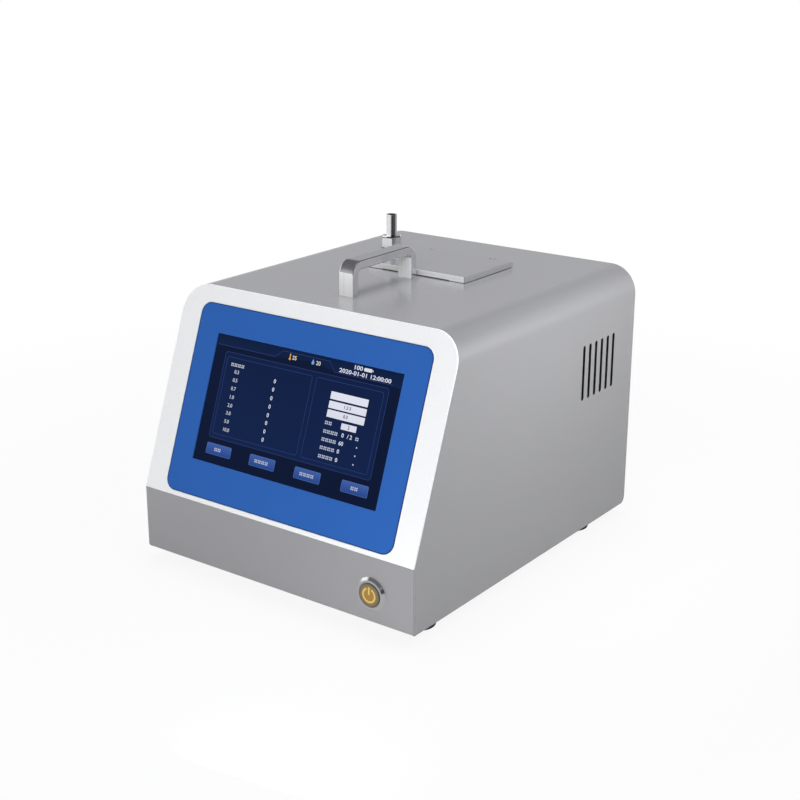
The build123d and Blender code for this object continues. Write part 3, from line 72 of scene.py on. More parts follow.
# helpers for shader nodes: the owner is a material or a node tree
def treeOf(owner):
    return getattr(owner, "node_tree", owner)


def addNode(owner, kind, inputs=None, links=None, **settings):
    # one node with its settings, the values of its sockets and what is linked to them
    tree = treeOf(owner)
    node = tree.nodes.new(kind)
    for name, value in settings.items():
        setattr(node, name, value)
    for name, value in (inputs or {}).items():
        node.inputs[name].default_value = value
    for name, source in (links or {}).items():
        tree.links.new(source, node.inputs[name])
    return node


def feed(owner, socket, value):
    # a socket takes another socket, a colour, a vector or a number
    if isinstance(value, bpy.types.NodeSocket):
        treeOf(owner).links.new(value, socket)
    elif socket.type == "RGBA":
        socket.default_value = (*value[:3], 1.0)
    else:
        socket.default_value = value


def combine(owner, operation, first, second=None):
    node = addNode(owner, "ShaderNodeMath", operation=operation)
    feed(owner, node.inputs[0], first)
    if second is not None:
        feed(owner, node.inputs[1], second)
    return node.outputs[0]


def product(owner, *values):
    result = values[0]
    for value in values[1:]:
        result = combine(owner, "MULTIPLY", result, value)
    return result


def combineVectors(owner, operation, first, second=None):
    node = addNode(owner, "ShaderNodeVectorMath", operation=operation)
    feed(owner, node.inputs[0], first)
    if second is not None:
        feed(owner, node.inputs[1], tuple(second))
    return node.outputs["Value" if operation in ("LENGTH", "DOT_PRODUCT") else "Vector"]


def partsOf(owner, vector):
    return addNode(owner, "ShaderNodeSeparateXYZ", links={0: vector}).outputs


def between(owner, value, low, high, fromLow=0.3, fromHigh=0.7, smooth=False):
    # low to high while the value goes from fromLow to fromHigh, between which most of a noise lies
    node = addNode(owner, "ShaderNodeMapRange", {
        "From Min": fromLow, "From Max": fromHigh, "To Min": low, "To Max": high,
    }, {"Value": value}, interpolation_type="SMOOTHSTEP" if smooth else "LINEAR")
    return node.outputs[0]


def mixColors(owner, factor, first, second):
    mix = addNode(owner, "ShaderNodeMix", data_type="RGBA")
    for index, value in ((0, factor), (6, first), (7, second)):
        feed(owner, mix.inputs[index], value)
    return mix.outputs[2]


def mixNumbers(owner, factor, first, second):
    mix = addNode(owner, "ShaderNodeMix", data_type="FLOAT")
    for index, value in ((0, factor), (2, first), (3, second)):
        feed(owner, mix.inputs[index], value)
    return mix.outputs[0]


def mixShaders(tree, factor, first, second):
    shaders = {0: factor, 1: first.outputs[0], 2: second.outputs[0]}
    return addNode(tree, "ShaderNodeMixShader", links=shaders)


studio = {
    "floorSize": 40.0,
    "floorColor": (0.60, 0.60, 0.61, 1.0),
    "whiteNear": 0.90,  # share of plain white that the camera sees on the floor beside the part
    "whiteFar": 1.0,  # and far from it
    "nearRadius": 0.20,
    "farRadius": 0.75,
    "mirroredFloor": 0.42,  # what polished metal mirrors from the floor
    "mirroredLeft": 1.0,  # and from the floor's pale left side
    "leftEdge": -0.10,
    "leftEnd": -0.45,
    "ambient": (0.97, 0.98, 1.0, 1.0),
    "ambientStrength": 0.30,
    "mirroredByHeight": [(0.0, 0.50), (0.16, 0.45), (0.34, 0.38), (0.55, 0.12), (0.85, 0.14), (1.0, 0.40)],
    "mirroredBlue": 1.03,
    "leftWall": {"toward": (-0.95, -0.22, 0.14), "inner": 0.92, "outer": 0.80, "level": 1.0},
    "cameraSide": {"toward": (0.76, -0.64, -0.05), "inner": 0.94, "outer": 0.84, "level": 0.06},
    "lamps": {
        "frontSoftbox": {
            "place": (0.44, -1.38, 0.75), "toward": (0, -0.1, 0.1), "size": (0.9, 0.5), "power": 8.9,
        },
        "sideStrip": {
            "place": (0.26, 0.03, 0.20), "toward": (0.11, 0.03, 0.16), "size": (0.34, 0.05), "power": 0.42,
        },
        "panelStrip": {
            "place": (0.135, -0.30, 0.02), "toward": (0.11, -0.13, 0.015),
            "size": (0.08, 0.02), "power": 0.08,
        },
        "topSoftbox": {
            "place": (-0.15, 0.15, 1.90), "toward": (0, 0, 0.1), "size": (1.2, 1.2), "power": 29.0,
        },
    },
}


def rayShares(tree):
    # 1 for rays that the camera sends, straight or through glass, and 1 for mirrored rays
    path = addNode(tree, "ShaderNodeLightPath").outputs
    return combine(tree, "MAXIMUM", path["Is Camera Ray"], path["Is Transmission Ray"]), path["Is Glossy Ray"]


def mirroredRoom(tree):
    # levels by the height of the ray, then a white wall on the left and a dark one on the camera's side
    direction = addNode(tree, "ShaderNodeTexCoord").outputs["Generated"]
    ramp = addNode(tree, "ShaderNodeValToRGB", links={0: partsOf(tree, direction)[2]})
    steps = ramp.color_ramp.elements
    while len(steps) < len(studio["mirroredByHeight"]):
        steps.new(0.5)
    for step, (position, level) in zip(steps, studio["mirroredByHeight"]):
        step.position = position
        step.color = (level, level, level * studio["mirroredBlue"], 1)
    color = ramp.outputs["Color"]
    for patch in (studio["leftWall"], studio["cameraSide"]):
        near = combineVectors(tree, "DOT_PRODUCT", direction, Vector(patch["toward"]).normalized())
        share = between(tree, near, 0.0, 1.0, patch["outer"], patch["inner"], smooth=True)
        color = mixColors(tree, share, color, (patch["level"],) * 3)
    return color


def makeWorld():
    world = bpy.data.worlds.new("studio")
    bpy.context.scene.world = world
    world.use_nodes = True
    tree = world.node_tree
    tree.nodes.clear()
    toCamera, isGlossy = rayShares(tree)
    ambient = addNode(tree, "ShaderNodeBackground", {
        "Color": studio["ambient"], "Strength": studio["ambientStrength"],
    })
    room = addNode(tree, "ShaderNodeBackground", links={"Color": mirroredRoom(tree)})
    white = addNode(tree, "ShaderNodeBackground", {"Color": (1, 1, 1, 1)})
    unseen = mixShaders(tree, isGlossy, ambient, room)
    shown = mixShaders(tree, toCamera, unseen, white)
    addNode(tree, "ShaderNodeOutputWorld", links={"Surface": shown.outputs[0]})


def floorMaterial():
    # matt paper that takes the shadow; the camera sees it whiter with distance, and metal mirrors it grey
    material = bpy.data.materials.new("floorPaper")
    material.use_nodes = True
    tree = material.node_tree
    tree.nodes.clear()
    place = addNode(tree, "ShaderNodeTexCoord").outputs["Object"]
    distance = combineVectors(tree, "LENGTH", place)
    whiteShare = between(
        tree, distance, studio["whiteNear"], studio["whiteFar"],
        studio["nearRadius"], studio["farRadius"], smooth=True,
    )
    mirroredLevel = between(
        tree, partsOf(tree, place)[0], studio["mirroredLeft"], studio["mirroredFloor"],
        studio["leftEnd"], studio["leftEdge"], smooth=True,
    )
    toCamera, isGlossy = rayShares(tree)
    paper = addNode(tree, "ShaderNodeBsdfDiffuse", {"Color": studio["floorColor"]})
    mirrored = addNode(tree, "ShaderNodeEmission", links={"Strength": mirroredLevel})
    white = addNode(tree, "ShaderNodeEmission")
    lit = mixShaders(tree, isGlossy, paper, mirrored)
    shown = mixShaders(tree, product(tree, toCamera, whiteShare), lit, white)
    addNode(tree, "ShaderNodeOutputMaterial", links={"Surface": shown.outputs[0]})
    return material


def makeFloor():
    half = studio["floorSize"] / 2
    corners = [(-half, -half, 0), (half, -half, 0), (half, half, 0), (-half, half, 0)]
    mesh = bpy.data.meshes.new("studioFloor")
    mesh.from_pydata(corners, [], [(0, 1, 2, 3)])
    mesh.materials.append(floorMaterial())
    floor = bpy.data.objects.new("studioFloor", mesh)
    bpy.context.scene.collection.objects.link(floor)


def makeLamps():
    for name, lamp in studio["lamps"].items():
        data = bpy.data.lights.new(name, "AREA")
        data.shape = "RECTANGLE"
        data.size, data.size_y = lamp["size"]
        data.energy = lamp["power"]
        lampObject = bpy.data.objects.new(name, data)
        lampObject.location = lamp["place"]
        aim = Vector(lamp["toward"]) - Vector(lamp["place"])
        lampObject.rotation_euler = aim.to_track_quat("-Z", "Y").to_euler()
        lampObject.visible_glossy = False
        lampObject.visible_camera = False
        bpy.context.scene.collection.objects.link(lampObject)


makeWorld()
makeFloor()
makeLamps()
print("studio lit")


# materials
def startMaterial(name):
    material = bpy.data.materials.new(name)
    material.use_nodes = True
    return material, material.node_tree.nodes["Principled BSDF"]


def objectPlace(material):
    return addNode(material, "ShaderNodeTexCoord").outputs["Object"]


def placeFrom(material, centre):
    # Object coordinates counted from a centre in millimetres
    return combineVectors(material, "SUBTRACT", objectPlace(material), np.array(centre) * millimetre)


def grainOf(material, scale, stretch=(1, 1, 1), detail=4.0):
    # noise on Object coordinates, drawn out along the directions where stretch is small
    mapping = addNode(material, "ShaderNodeMapping", {"Scale": stretch}, {"Vector": objectPlace(material)})
    noise = addNode(
        material, "ShaderNodeTexNoise", {"Scale": scale, "Detail": detail, "Roughness": 0.6},
        {"Vector": mapping.outputs[0]},
    )
    return noise.outputs["Fac"]


def insideBox(material, low, high):
    # 1 inside a box given by two corners in millimetres: no measure may pass half the box's size
    low, high = np.array(low), np.array(high)
    shift = placeFrom(material, (low + high) / 2)
    over = combineVectors(
        material, "SUBTRACT", combineVectors(material, "ABSOLUTE", shift), (high - low) / 2 * millimetre,
    )
    overX, overY, overZ = partsOf(material, over)
    most = combine(material, "MAXIMUM", combine(material, "MAXIMUM", overX, overY), overZ)
    return combine(material, "LESS_THAN", most, 0.0)


def addBump(material, shader, height, depth, strength):
    bump = addNode(material, "ShaderNodeBump", {"Strength": strength, "Distance": depth}, {"Height": height})
    feed(material, shader.inputs["Normal"], bump.outputs[0])


plainLook = {
    "spread": 0.04,  # how far the grain changes the colour
    "gloss": 0.04,  # and the roughness
    "stretch": (1, 1, 1),
    "cloud": 14.0,
    "cloudShare": 0.25,
    "cloudTone": 0.94,  # the cloud's colour, as a share of the main one
    "metallic": 0.0,
    "relief": 0.00002,
    "bump": 0.5,
    "patches": (),
    "streakEdges": (0.4, 0.6),
}


def surfaceMaterial(name, look):
    # colour, roughness and relief from one fine grain, with a slow cloud of colour over it
    look = {**plainLook, **look}
    material, shader = startMaterial(name)
    color = np.array(look["color"])
    pale = np.minimum(color * (1 + look["spread"]), 1.0)
    dark = color * (1 - look["spread"])
    grain = grainOf(material, look["grain"], look["stretch"])
    cloud = grainOf(material, look["cloud"], detail=2.0)
    fine = mixColors(material, between(material, grain, 0.0, 1.0), dark, pale)
    cloudShare = between(material, cloud, 0.0, look["cloudShare"])
    tone = mixColors(material, cloudShare, fine, color * look["cloudTone"])
    roughness = between(material, grain, look["roughness"] - look["gloss"], look["roughness"] + look["gloss"])
    metallic = look["metallic"]
    for patch in look["patches"]:
        mask = insideBox(material, patch["low"], patch["high"])
        patchTone = patch["color"]
        if "streak" in patch:
            streaks = grainOf(material, patch["streakScale"], look["stretch"])
            dull = np.array(patchTone) * (1 - patch["streak"])
            share = between(material, streaks, 0.0, 1.0, *look["streakEdges"])
            patchTone = mixColors(material, share, dull, patchTone)
        tone = mixColors(material, mask, tone, patchTone)
        roughness = mixNumbers(material, mask, roughness, patch["roughness"])
        metallic = mixNumbers(material, mask, metallic, patch["metallic"])
    feed(material, shader.inputs["Base Color"], tone)
    feed(material, shader.inputs["Roughness"], roughness)
    feed(material, shader.inputs["Metallic"], metallic)
    if "clear" in look:
        shader.inputs["Transmission Weight"].default_value = look["clear"]
    addBump(material, shader, grain, depth=look["relief"], strength=look["bump"])
    return material


latheMarks = {
    "dark": 0.88,
    "pale": 1.1,
    "roughness": (-0.05, 0.06),  # added to that of the finish
    "detail": 3.0,
    "relief": 0.00001,
    "bump": 0.35,
}


def latheRings(material, scale, place):
    # a fine noise along one measure, as a lathe tool leaves it
    noise = addNode(
        material, "ShaderNodeTexNoise", {"Scale": scale, "Detail": latheMarks["detail"]}, {"W": place},
        noise_dimensions="1D",
    )
    return noise.outputs["Fac"]


def turnedMaterial(name, look):
    # rings round an axis: the distance from the axis plus the height along it drives the noise
    material, shader = startMaterial(name)
    shift = placeFrom(material, look["centre"])
    height = partsOf(material, shift)[look["axis"]]
    flattened = combineVectors(
        material, "MULTIPLY", shift, [0.0 if axis == look["axis"] else 1.0 for axis in range(3)],
    )
    place = combine(material, "ADD", combineVectors(material, "LENGTH", flattened), height)
    rings = latheRings(material, look["rings"], place)
    color = np.array(look["color"])
    pale = np.minimum(color * latheMarks["pale"], 1)
    tone = mixColors(material, between(material, rings, 0.0, 1.0), color * latheMarks["dark"], pale)
    metallic = 1.0
    for paintedReflection in look.get("paintedReflections", ()):
        # the side that looks along one direction, coloured as a painted reflection, light or dark, in place
        # of what the polish would mirror
        angle = radians(paintedReflection["angle"])
        side = combineVectors(material, "DOT_PRODUCT", shift, (np.cos(angle), np.sin(angle), 0.0))
        start, end = np.array(paintedReflection["reach"]) * millimetre
        bottom, top = np.array(paintedReflection["heights"]) * millimetre
        share = product(
            material, between(material, side, 0.0, 1.0, start, end),
            combine(material, "GREATER_THAN", height, bottom), combine(material, "LESS_THAN", height, top),
        )
        tone = mixColors(material, share, tone, paintedReflection["color"])
        metallic = mixNumbers(material, share, metallic, paintedReflection["metallic"])
    feed(material, shader.inputs["Base Color"], tone)
    feed(material, shader.inputs["Metallic"], metallic)
    smoothest, roughest = (look["roughness"] + change for change in latheMarks["roughness"])
    feed(material, shader.inputs["Roughness"], between(material, rings, smoothest, roughest))
    addBump(material, shader, rings, depth=latheMarks["relief"], strength=latheMarks["bump"])
    return material


def boardMaterial(name, look):
    # green lacquer with copper tracks: cells of a brick pattern, and dark chips above the board's face
    material, shader = startMaterial(name)
    grain = grainOf(material, look["grain"])
    place = objectPlace(material)
    turn = [radians(angle) for angle in look["turn"]]
    turned = addNode(material, "ShaderNodeMapping", {"Rotation": turn}, {"Vector": place})
    lacquer, track = (*look["board"], 1), (*look["track"], 1)
    tracks = addNode(material, "ShaderNodeTexBrick", {
        "Scale": look["trackScale"], "Mortar Size": look["trackWidth"],
        "Color1": lacquer, "Color2": lacquer, "Mortar": track,
    }, {"Vector": turned.outputs[0]})
    shade = between(material, grain, 0.0, look["shadeShare"])
    color = mixColors(material, shade, tracks.outputs["Color"], look["shade"])
    height = combineVectors(material, "DOT_PRODUCT", place, look["normal"])
    chip = combine(material, "GREATER_THAN", height, look["face"] * millimetre)
    feed(material, shader.inputs["Base Color"], mixColors(material, chip, color, look["chip"]))
    feed(material, shader.inputs["Roughness"], between(material, grain, *look["roughness"]))
    addBump(material, shader, grain, depth=look["relief"], strength=look["bump"])
    return material


# the sloping front has its own coordinates in millimetres: across from the middle, up from the foot and
# out of the face
slope = {"foot": (0.0, -135.0, 53.0), "setback": 50.0, "rise": 135.0}
slopeFoot = np.array(slope["foot"])
slopeUp = np.array([0.0, slope["setback"], slope["rise"]])
slopeUp /= np.linalg.norm(slopeUp)
slopeOut = np.array([0.0, -slopeUp[2], slopeUp[1]])
slopeAcross = np.array([1.0, 0.0, 0.0])


def onSlope(points):
    # foot of the slope plus each measure along its own direction, in metres
    points = np.asarray(points, float)
    across, up, out = points[..., :1], points[..., 1:2], points[..., 2:]
    return (slopeFoot + across * slopeAcross + up * slopeUp + out * slopeOut) * millimetre


def slopeCoordinates(material):
    # across and up, in metres: the shift from the foot measured along each direction
    shift = placeFrom(material, slopeFoot)
    return [combineVectors(material, "DOT_PRODUCT", shift, direction) for direction in (slopeAcross, slopeUp)]


def distanceOf(owner, first, second):
    # root of the sum of the two squares
    return combine(
        owner, "SQRT", combine(owner, "ADD", product(owner, first, first), product(owner, second, second)),
    )


def distanceToFrame(material, place, centre, half, radius):
    # signed distance to a rounded rectangle: how far a point lies outside it, negative inside
    overs = []
    for value, middle, reach in zip(place, centre, half):
        shift = combine(material, "ABSOLUTE", combine(material, "SUBTRACT", value, middle * millimetre))
        overs.append(combine(material, "SUBTRACT", shift, (reach - radius) * millimetre))
    outside = distanceOf(material, *[combine(material, "MAXIMUM", over, 0.0) for over in overs])
    inside = combine(material, "MINIMUM", combine(material, "MAXIMUM", *overs), 0.0)
    return combine(material, "SUBTRACT", combine(material, "ADD", outside, inside), radius * millimetre)


overlayFilm = {
    "color": (0.026, 0.116, 0.420),
    "shadowLineColor": (0.008, 0.035, 0.16),
    "centre": (0.0, 67.95),
    "half": (95.5, 64.65),
    "radius": 8.0,
    "shadowLineWidth": 0.55,
    "roughness": 0.42,
    "gloss": 0.04,
    "shine": 0.1,
    "grain": 2600.0,
    "dark": 0.97,
    "pale": 1.03,
    "cloud": 9.0,
    "cloudShare": 0.3,
    "cloudTone": 0.93,
    "relief": 0.00001,
    "bump": 0.3,
}


def overlayMaterial():
    # printed film: fine matt texture, and a painted shadow line along its outline where it meets the white
    # frame
    material, shader = startMaterial("printedFilm")
    shape = (overlayFilm["centre"], overlayFilm["half"], overlayFilm["radius"])
    distance = distanceToFrame(material, slopeCoordinates(material), *shape)
    # the dark line along the outline is painted shadow of the gap round the film
    edge = combine(material, "GREATER_THAN", distance, -overlayFilm["shadowLineWidth"] * millimetre)
    grain = grainOf(material, overlayFilm["grain"], detail=2.0)
    cloud = grainOf(material, overlayFilm["cloud"], detail=1.0)
    color = np.array(overlayFilm["color"])
    dark, pale = color * overlayFilm["dark"], color * overlayFilm["pale"]
    film = mixColors(material, between(material, grain, 0.0, 1.0), dark, pale)
    cloudShare = between(material, cloud, 0.0, overlayFilm["cloudShare"])
    film = mixColors(material, cloudShare, film, color * overlayFilm["cloudTone"])
    low, high = (overlayFilm["roughness"] + side * overlayFilm["gloss"] for side in (-1, 1))
    feed(material, shader.inputs["Base Color"], mixColors(material, edge, film, overlayFilm["shadowLineColor"]))
    feed(material, shader.inputs["Roughness"], between(material, grain, low, high))
    feed(material, shader.inputs["Specular IOR Level"], overlayFilm["shine"])
    addBump(material, shader, grain, depth=overlayFilm["relief"], strength=overlayFilm["bump"])
    return material


powerCap = {
    "centre": (81.3, 28.0),
    "front": -137.6,  # the symbol shows only on the cap's front face
    "metal": (0.22, 0.215, 0.17),
    "metallic": 0.7,
    "metallicLost": 0.6,  # where it glows
    "glow": (0.32, 0.190, 0.040),
    "glowReach": (4.6, 7.6),
    "glowLevel": 0.25,  # beside the symbol
    "symbol": (0.85, 0.58, 0.23),
    "symbolLevel": 0.55,
    "ringRadius": 4.5,
    "lineWidth": 1.15,
    "barFoot": 0.4,
    "barTop": 5.6,
    "gapHalfWidth": 1.9,
    "rings": 3200.0,
    "dark": 0.85,
    "pale": 1.15,
    "roughness": (0.34, 0.46),
    "relief": 0.000008,
    "bump": 0.3,
}


def powerCapMaterial():
    # dark turned metal round a lit ring with an open top and a bar in the gap
    material, shader = startMaterial("powerCap")
    placeAcross, placeDeep, placeUp = partsOf(material, objectPlace(material))
    across = combine(material, "SUBTRACT", placeAcross, powerCap["centre"][0] * millimetre)
    up = combine(material, "SUBTRACT", placeUp, powerCap["centre"][1] * millimetre)
    distance = distanceOf(material, across, up)
    sideways = combine(material, "ABSOLUTE", across)
    halfLine = powerCap["lineWidth"] / 2 * millimetre
    offRing = combine(material, "SUBTRACT", distance, powerCap["ringRadius"] * millimetre)
    onRing = combine(material, "LESS_THAN", combine(material, "ABSOLUTE", offRing), halfLine)
    besideGap = combine(material, "GREATER_THAN", sideways, powerCap["gapHalfWidth"] * millimetre)
    belowGap = combine(material, "LESS_THAN", up, 0.0)
    ring = product(material, onRing, combine(material, "MAXIMUM", besideGap, belowGap))
    bar = product(
        material, combine(material, "LESS_THAN", sideways, halfLine),
        combine(material, "GREATER_THAN", up, powerCap["barFoot"] * millimetre),
        combine(material, "LESS_THAN", up, powerCap["barTop"] * millimetre),
    )
    onFront = combine(material, "LESS_THAN", placeDeep, powerCap["front"] * millimetre)
    symbol = product(material, combine(material, "MAXIMUM", ring, bar), onFront)
    rings = latheRings(material, powerCap["rings"], distance)
    metal = np.array(powerCap["metal"])
    dark, pale = metal * powerCap["dark"], metal * powerCap["pale"]
    tone = mixColors(material, between(material, rings, 0.0, 1.0), dark, pale)
    glowStart, glowEnd = np.array(powerCap["glowReach"]) * millimetre
    near = between(material, distance, 1.0, 0.0, glowStart, glowEnd)
    lost = product(material, near, powerCap["metallicLost"])
    metallic = combine(material, "SUBTRACT", powerCap["metallic"], lost)
    weakGlow = np.array(powerCap["glow"]) * powerCap["glowLevel"]
    light = mixColors(material, symbol, weakGlow, powerCap["symbol"])
    level = product(material, combine(material, "MAXIMUM", symbol, near), powerCap["symbolLevel"])
    feed(material, shader.inputs["Base Color"], mixColors(material, near, tone, powerCap["glow"]))
    feed(material, shader.inputs["Metallic"], metallic)
    feed(material, shader.inputs["Roughness"], between(material, rings, *powerCap["roughness"]))
    feed(material, shader.inputs["Emission Color"], light)
    feed(material, shader.inputs["Emission Strength"], level)
    addBump(material, shader, rings, depth=powerCap["relief"], strength=powerCap["bump"])
    return material


glassLook = {
    "color": (0.004, 0.006, 0.020),
    "smear": (0.006, 0.008, 0.026),
    "roughness": (0.06, 0.14),
    "shine": 0.1,
    "grain": 35.0,
    "stretch": (1, 0.4, 1),
}


def glassMaterial():
    # dark lit panel seen through the touch glass, faint smears in its gloss
    material, shader = startMaterial("touchGlass")
    smear = grainOf(material, glassLook["grain"], glassLook["stretch"], detail=3.0)
    tone = mixColors(material, between(material, smear, 0.0, 1.0), glassLook["color"], glassLook["smear"])
    feed(material, shader.inputs["Base Color"], tone)
    feed(material, shader.inputs["Roughness"], between(material, smear, *glassLook["roughness"]))
    feed(material, shader.inputs["Specular IOR Level"], glassLook["shine"])
    return material


# finishes of the CAD nodes, one for each material slot; a patch is a box that looks different, and some
# patches hold painted shade or painted highlights
satinPaint = {
    "roughness": 0.22, "grain": 1500.0, "spread": 0.015,
    "cloudShare": 0.10, "metallic": 0.6, "relief": 0.000004,
}
finishes = {
    "housing_paint": {
        **satinPaint, "color": (0.510, 0.512, 0.528),
        # the patch paints the vent slots' cut walls and the housing's inside near black: painted shade of the
        # slots
        "patches": [{
            "low": (-112.85, 55, 95), "high": (112.85, 115, 160),
            "color": (0.008, 0.008, 0.009), "roughness": 0.7, "metallic": 0.0,
        }],
    },
    "panel_paint": {**satinPaint, "color": (0.430, 0.428, 0.446), "roughness": 0.36, "metallic": 0.4},
    "bezel_white": {
        "color": (0.84, 0.85, 0.86), "roughness": 0.30, "grain": 900.0, "spread": 0.01,
        "cloudShare": 0.05, "relief": 0.000006,
    },
    "display_metal": {"color": (0.55, 0.56, 0.58), "roughness": 0.42, "grain": 300.0, "metallic": 1.0},
    "strap_steel": {
        "color": (0.62, 0.63, 0.64), "roughness": 0.34, "grain": 500.0,
        "metallic": 1.0, "stretch": (0.1, 1, 1),
    },
    "screw_steel": {"color": (0.64, 0.64, 0.65), "roughness": 0.28, "grain": 1800.0, "metallic": 1.0},
    "handle_metal": {
        "color": (0.80, 0.80, 0.83), "roughness": 0.20, "grain": 700.0, "metallic": 1.0,
        "stretch": (4, 0.1, 0.1), "spread": 0.10, "relief": 0.000006,
        # both patches paint a leg's front face near white as a painted highlight, on the rear leg where the
        # bar's shadow falls; the streaks over it are the brushing
        "patches": [{
            "low": (-5.6, -56, 187), "high": (5.6, -55.25, 214), "color": (0.99, 0.99, 0.99),
            "roughness": 0.24, "metallic": 0.1, "streak": 0.12, "streakScale": 240.0,
        }, {
            "low": (-5.6, 9.25, 187), "high": (5.6, 9.8, 214), "color": (1.0, 1.0, 1.0),
            "roughness": 0.24, "metallic": 0.0, "streak": 0.08, "streakScale": 240.0,
        }],
    },
    "seal_rubber": {"color": (0.025, 0.025, 0.026), "roughness": 0.62, "grain": 1100.0, "spread": 0.2},
    "foot_rubber": {
        "color": (0.016, 0.016, 0.017), "roughness": 0.70, "grain": 900.0, "spread": 0.25, "relief": 0.00006,
    },
    "printer_plastic": {
        "color": (0.055, 0.055, 0.060), "roughness": 0.55, "grain": 1300.0, "spread": 0.12, "relief": 0.00004,
        "patches": [{
            "low": (-45, 72, 187.0), "high": (48, 88, 193.0),
            "color": (0.42, 0.42, 0.43), "roughness": 0.30, "metallic": 0.4,
        }],
    },
    "lid_grey": {
        **satinPaint, "color": (0.495, 0.497, 0.513),
        # the patch paints the lid's front edge near white: a painted highlight on the bare edge
        "patches": [{
            "low": (-45, 19.5, 188.0), "high": (48, 20.2, 192.5),
            "color": (0.95, 0.95, 0.96), "roughness": 0.16, "metallic": 0.3,
        }],
    },
    "head_ceramic": {"color": (0.70, 0.68, 0.62), "roughness": 0.22, "grain": 700.0, "spread": 0.05},
    "fan_plastic": {"color": (0.012, 0.012, 0.013), "roughness": 0.45, "grain": 1200.0, "spread": 0.15},
    "socket_plastic": {"color": (0.018, 0.018, 0.018), "roughness": 0.38, "grain": 1200.0, "spread": 0.15},
    "port_metal": {"color": (0.66, 0.66, 0.68), "roughness": 0.26, "grain": 900.0, "metallic": 1.0},
    "support_nylon": {"color": (0.80, 0.80, 0.75), "roughness": 0.48, "grain": 700.0, "spread": 0.04},
    "sensor_black": {
        "color": (0.030, 0.030, 0.034), "roughness": 0.36, "grain": 1800.0, "metallic": 0.6, "spread": 0.15,
    },
    "post_aluminium": {
        "color": (0.70, 0.71, 0.72), "roughness": 0.30, "grain": 900.0,
        "metallic": 1.0, "stretch": (0.2, 0.2, 3),
    },
    "laser_brass": {
        "color": (0.72, 0.52, 0.24), "roughness": 0.26, "grain": 900.0,
        "metallic": 1.0, "stretch": (0.2, 3, 0.2),
    },
    "hose_rubber": {"color": (0.62, 0.65, 0.66), "roughness": 0.32, "grain": 400.0, "clear": 0.35},
    "pump_plastic": {
        "color": (0.035, 0.035, 0.040), "roughness": 0.46, "grain": 1100.0, "spread": 0.15,
        "patches": [{
            "low": (-80, -74, 9), "high": (-30, -35.1, 48),
            "color": (0.55, 0.56, 0.58), "roughness": 0.30, "metallic": 1.0,
        }],
    },
    "filter_white": {"color": (0.80, 0.81, 0.82), "roughness": 0.30, "grain": 800.0, "spread": 0.02},
    "battery_wrap": {"color": (0.03, 0.10, 0.34), "roughness": 0.28, "grain": 500.0, "spread": 0.08},
}
turnedFinishes = {
    "button_chrome": {
        "color": (0.90, 0.91, 0.93), "roughness": 0.12,
        "rings": 2600.0, "axis": 1, "centre": (81.3, -135.0, 28.0),
    },
    "fitting_steel": {
        "color": (0.80, 0.80, 0.82), "roughness": 0.14,
        "rings": 1800.0, "axis": 2, "centre": (-64.9, 82.0, 188.0),
        # a near-white painted highlight on the hex's front facet and on a strip of the tube, then a dark
        # painted reflection down the tube's front-right side
        "paintedReflections": [{
            "angle": -82, "reach": (6.85, 6.95), "heights": (0.0, 7.8),
            "color": (0.98, 0.98, 0.98), "metallic": 0.1,
        }, {
            "angle": -88, "reach": (3.45, 3.75), "heights": (8.6, 40.0),
            "color": (0.98, 0.98, 0.98), "metallic": 0.1,
        }, {
            "angle": -32, "reach": (3.55, 3.85), "heights": (8.6, 40.0),
            "color": (0.16, 0.16, 0.17), "metallic": 1.0,
        }],
    },
}
lacquer = {
    "board": (0.012, 0.110, 0.045),
    "shade": (0.01, 0.06, 0.03),
    "shadeShare": 0.25,
    "track": (0.05, 0.24, 0.10),
    "chip": (0.015, 0.015, 0.017),
    "trackScale": 140.0,
    "trackWidth": 0.03,
    "roughness": (0.35, 0.5),
    "grain": 900.0,
    "relief": 0.00002,
    "bump": 0.3,
}
boards = {
    "main_board": {**lacquer, "normal": (0, 0, 1), "face": 19.2, "turn": (0, 0, 0)},
    "detector_board": {**lacquer, "normal": (1, 0, 0), "face": -36.8, "turn": (0, 90, 0)},
    "display_board": {
        **lacquer, "normal": -slopeOut, "face": -slopeOut @ slopeFoot + 11.75, "turn": (70, 0, 0),
    },
}


def dressCadNodes():
    materials = {name: surfaceMaterial(name, look) for name, look in finishes.items()}
    materials.update({name: turnedMaterial(name, look) for name, look in turnedFinishes.items()})
    materials["overlay_blue"] = overlayMaterial()
    materials["screen_glass"] = glassMaterial()
    materials["button_metal"] = powerCapMaterial()
    slots = {part["node"]: part["material_slot"] for part in frame["record"]["subparts"]}
    for name, node in cadNodes.items():
        material = boardMaterial(name + "Lacquer", boards[name]) if name in boards else materials[slots[name]]
        node.data.materials.clear()
        node.data.materials.append(material)


dressCadNodes()
print("CAD nodes dressed")


# surfaces on a grid
def gridFaces(rows, columns, closeRows, closeColumns):
    # each quad joins a grid point to its neighbours along both parameters
    row = np.arange(rows if closeRows else rows - 1)[:, None]
    column = np.arange(columns if closeColumns else columns - 1)[None, :]
    nextRow, nextColumn = (row + 1) % rows, (column + 1) % columns
    corners = [(row, column), (row, nextColumn), (nextRow, nextColumn), (nextRow, column)]
    return np.stack([across * columns + along for across, along in corners], -1).reshape(-1, 4)


def gridPiece(name, grids, material, body):
    # each grid comes as (points, closeRows, closeColumns), and merging doubled points closes poles and seams
    points, faces, offset = [], [], 0
    for grid, closeRows, closeColumns in grids:
        rows, columns = grid.shape[:2]
        points.append(grid.reshape(-1, 3))
        faces.append(gridFaces(rows, columns, closeRows, closeColumns) + offset)
        offset += rows * columns
    mesh = bpy.data.meshes.new(name)
    mesh.from_pydata(np.concatenate(points).tolist(), [], np.concatenate(faces).tolist())
    return finishPiece(name, mesh, material, body)


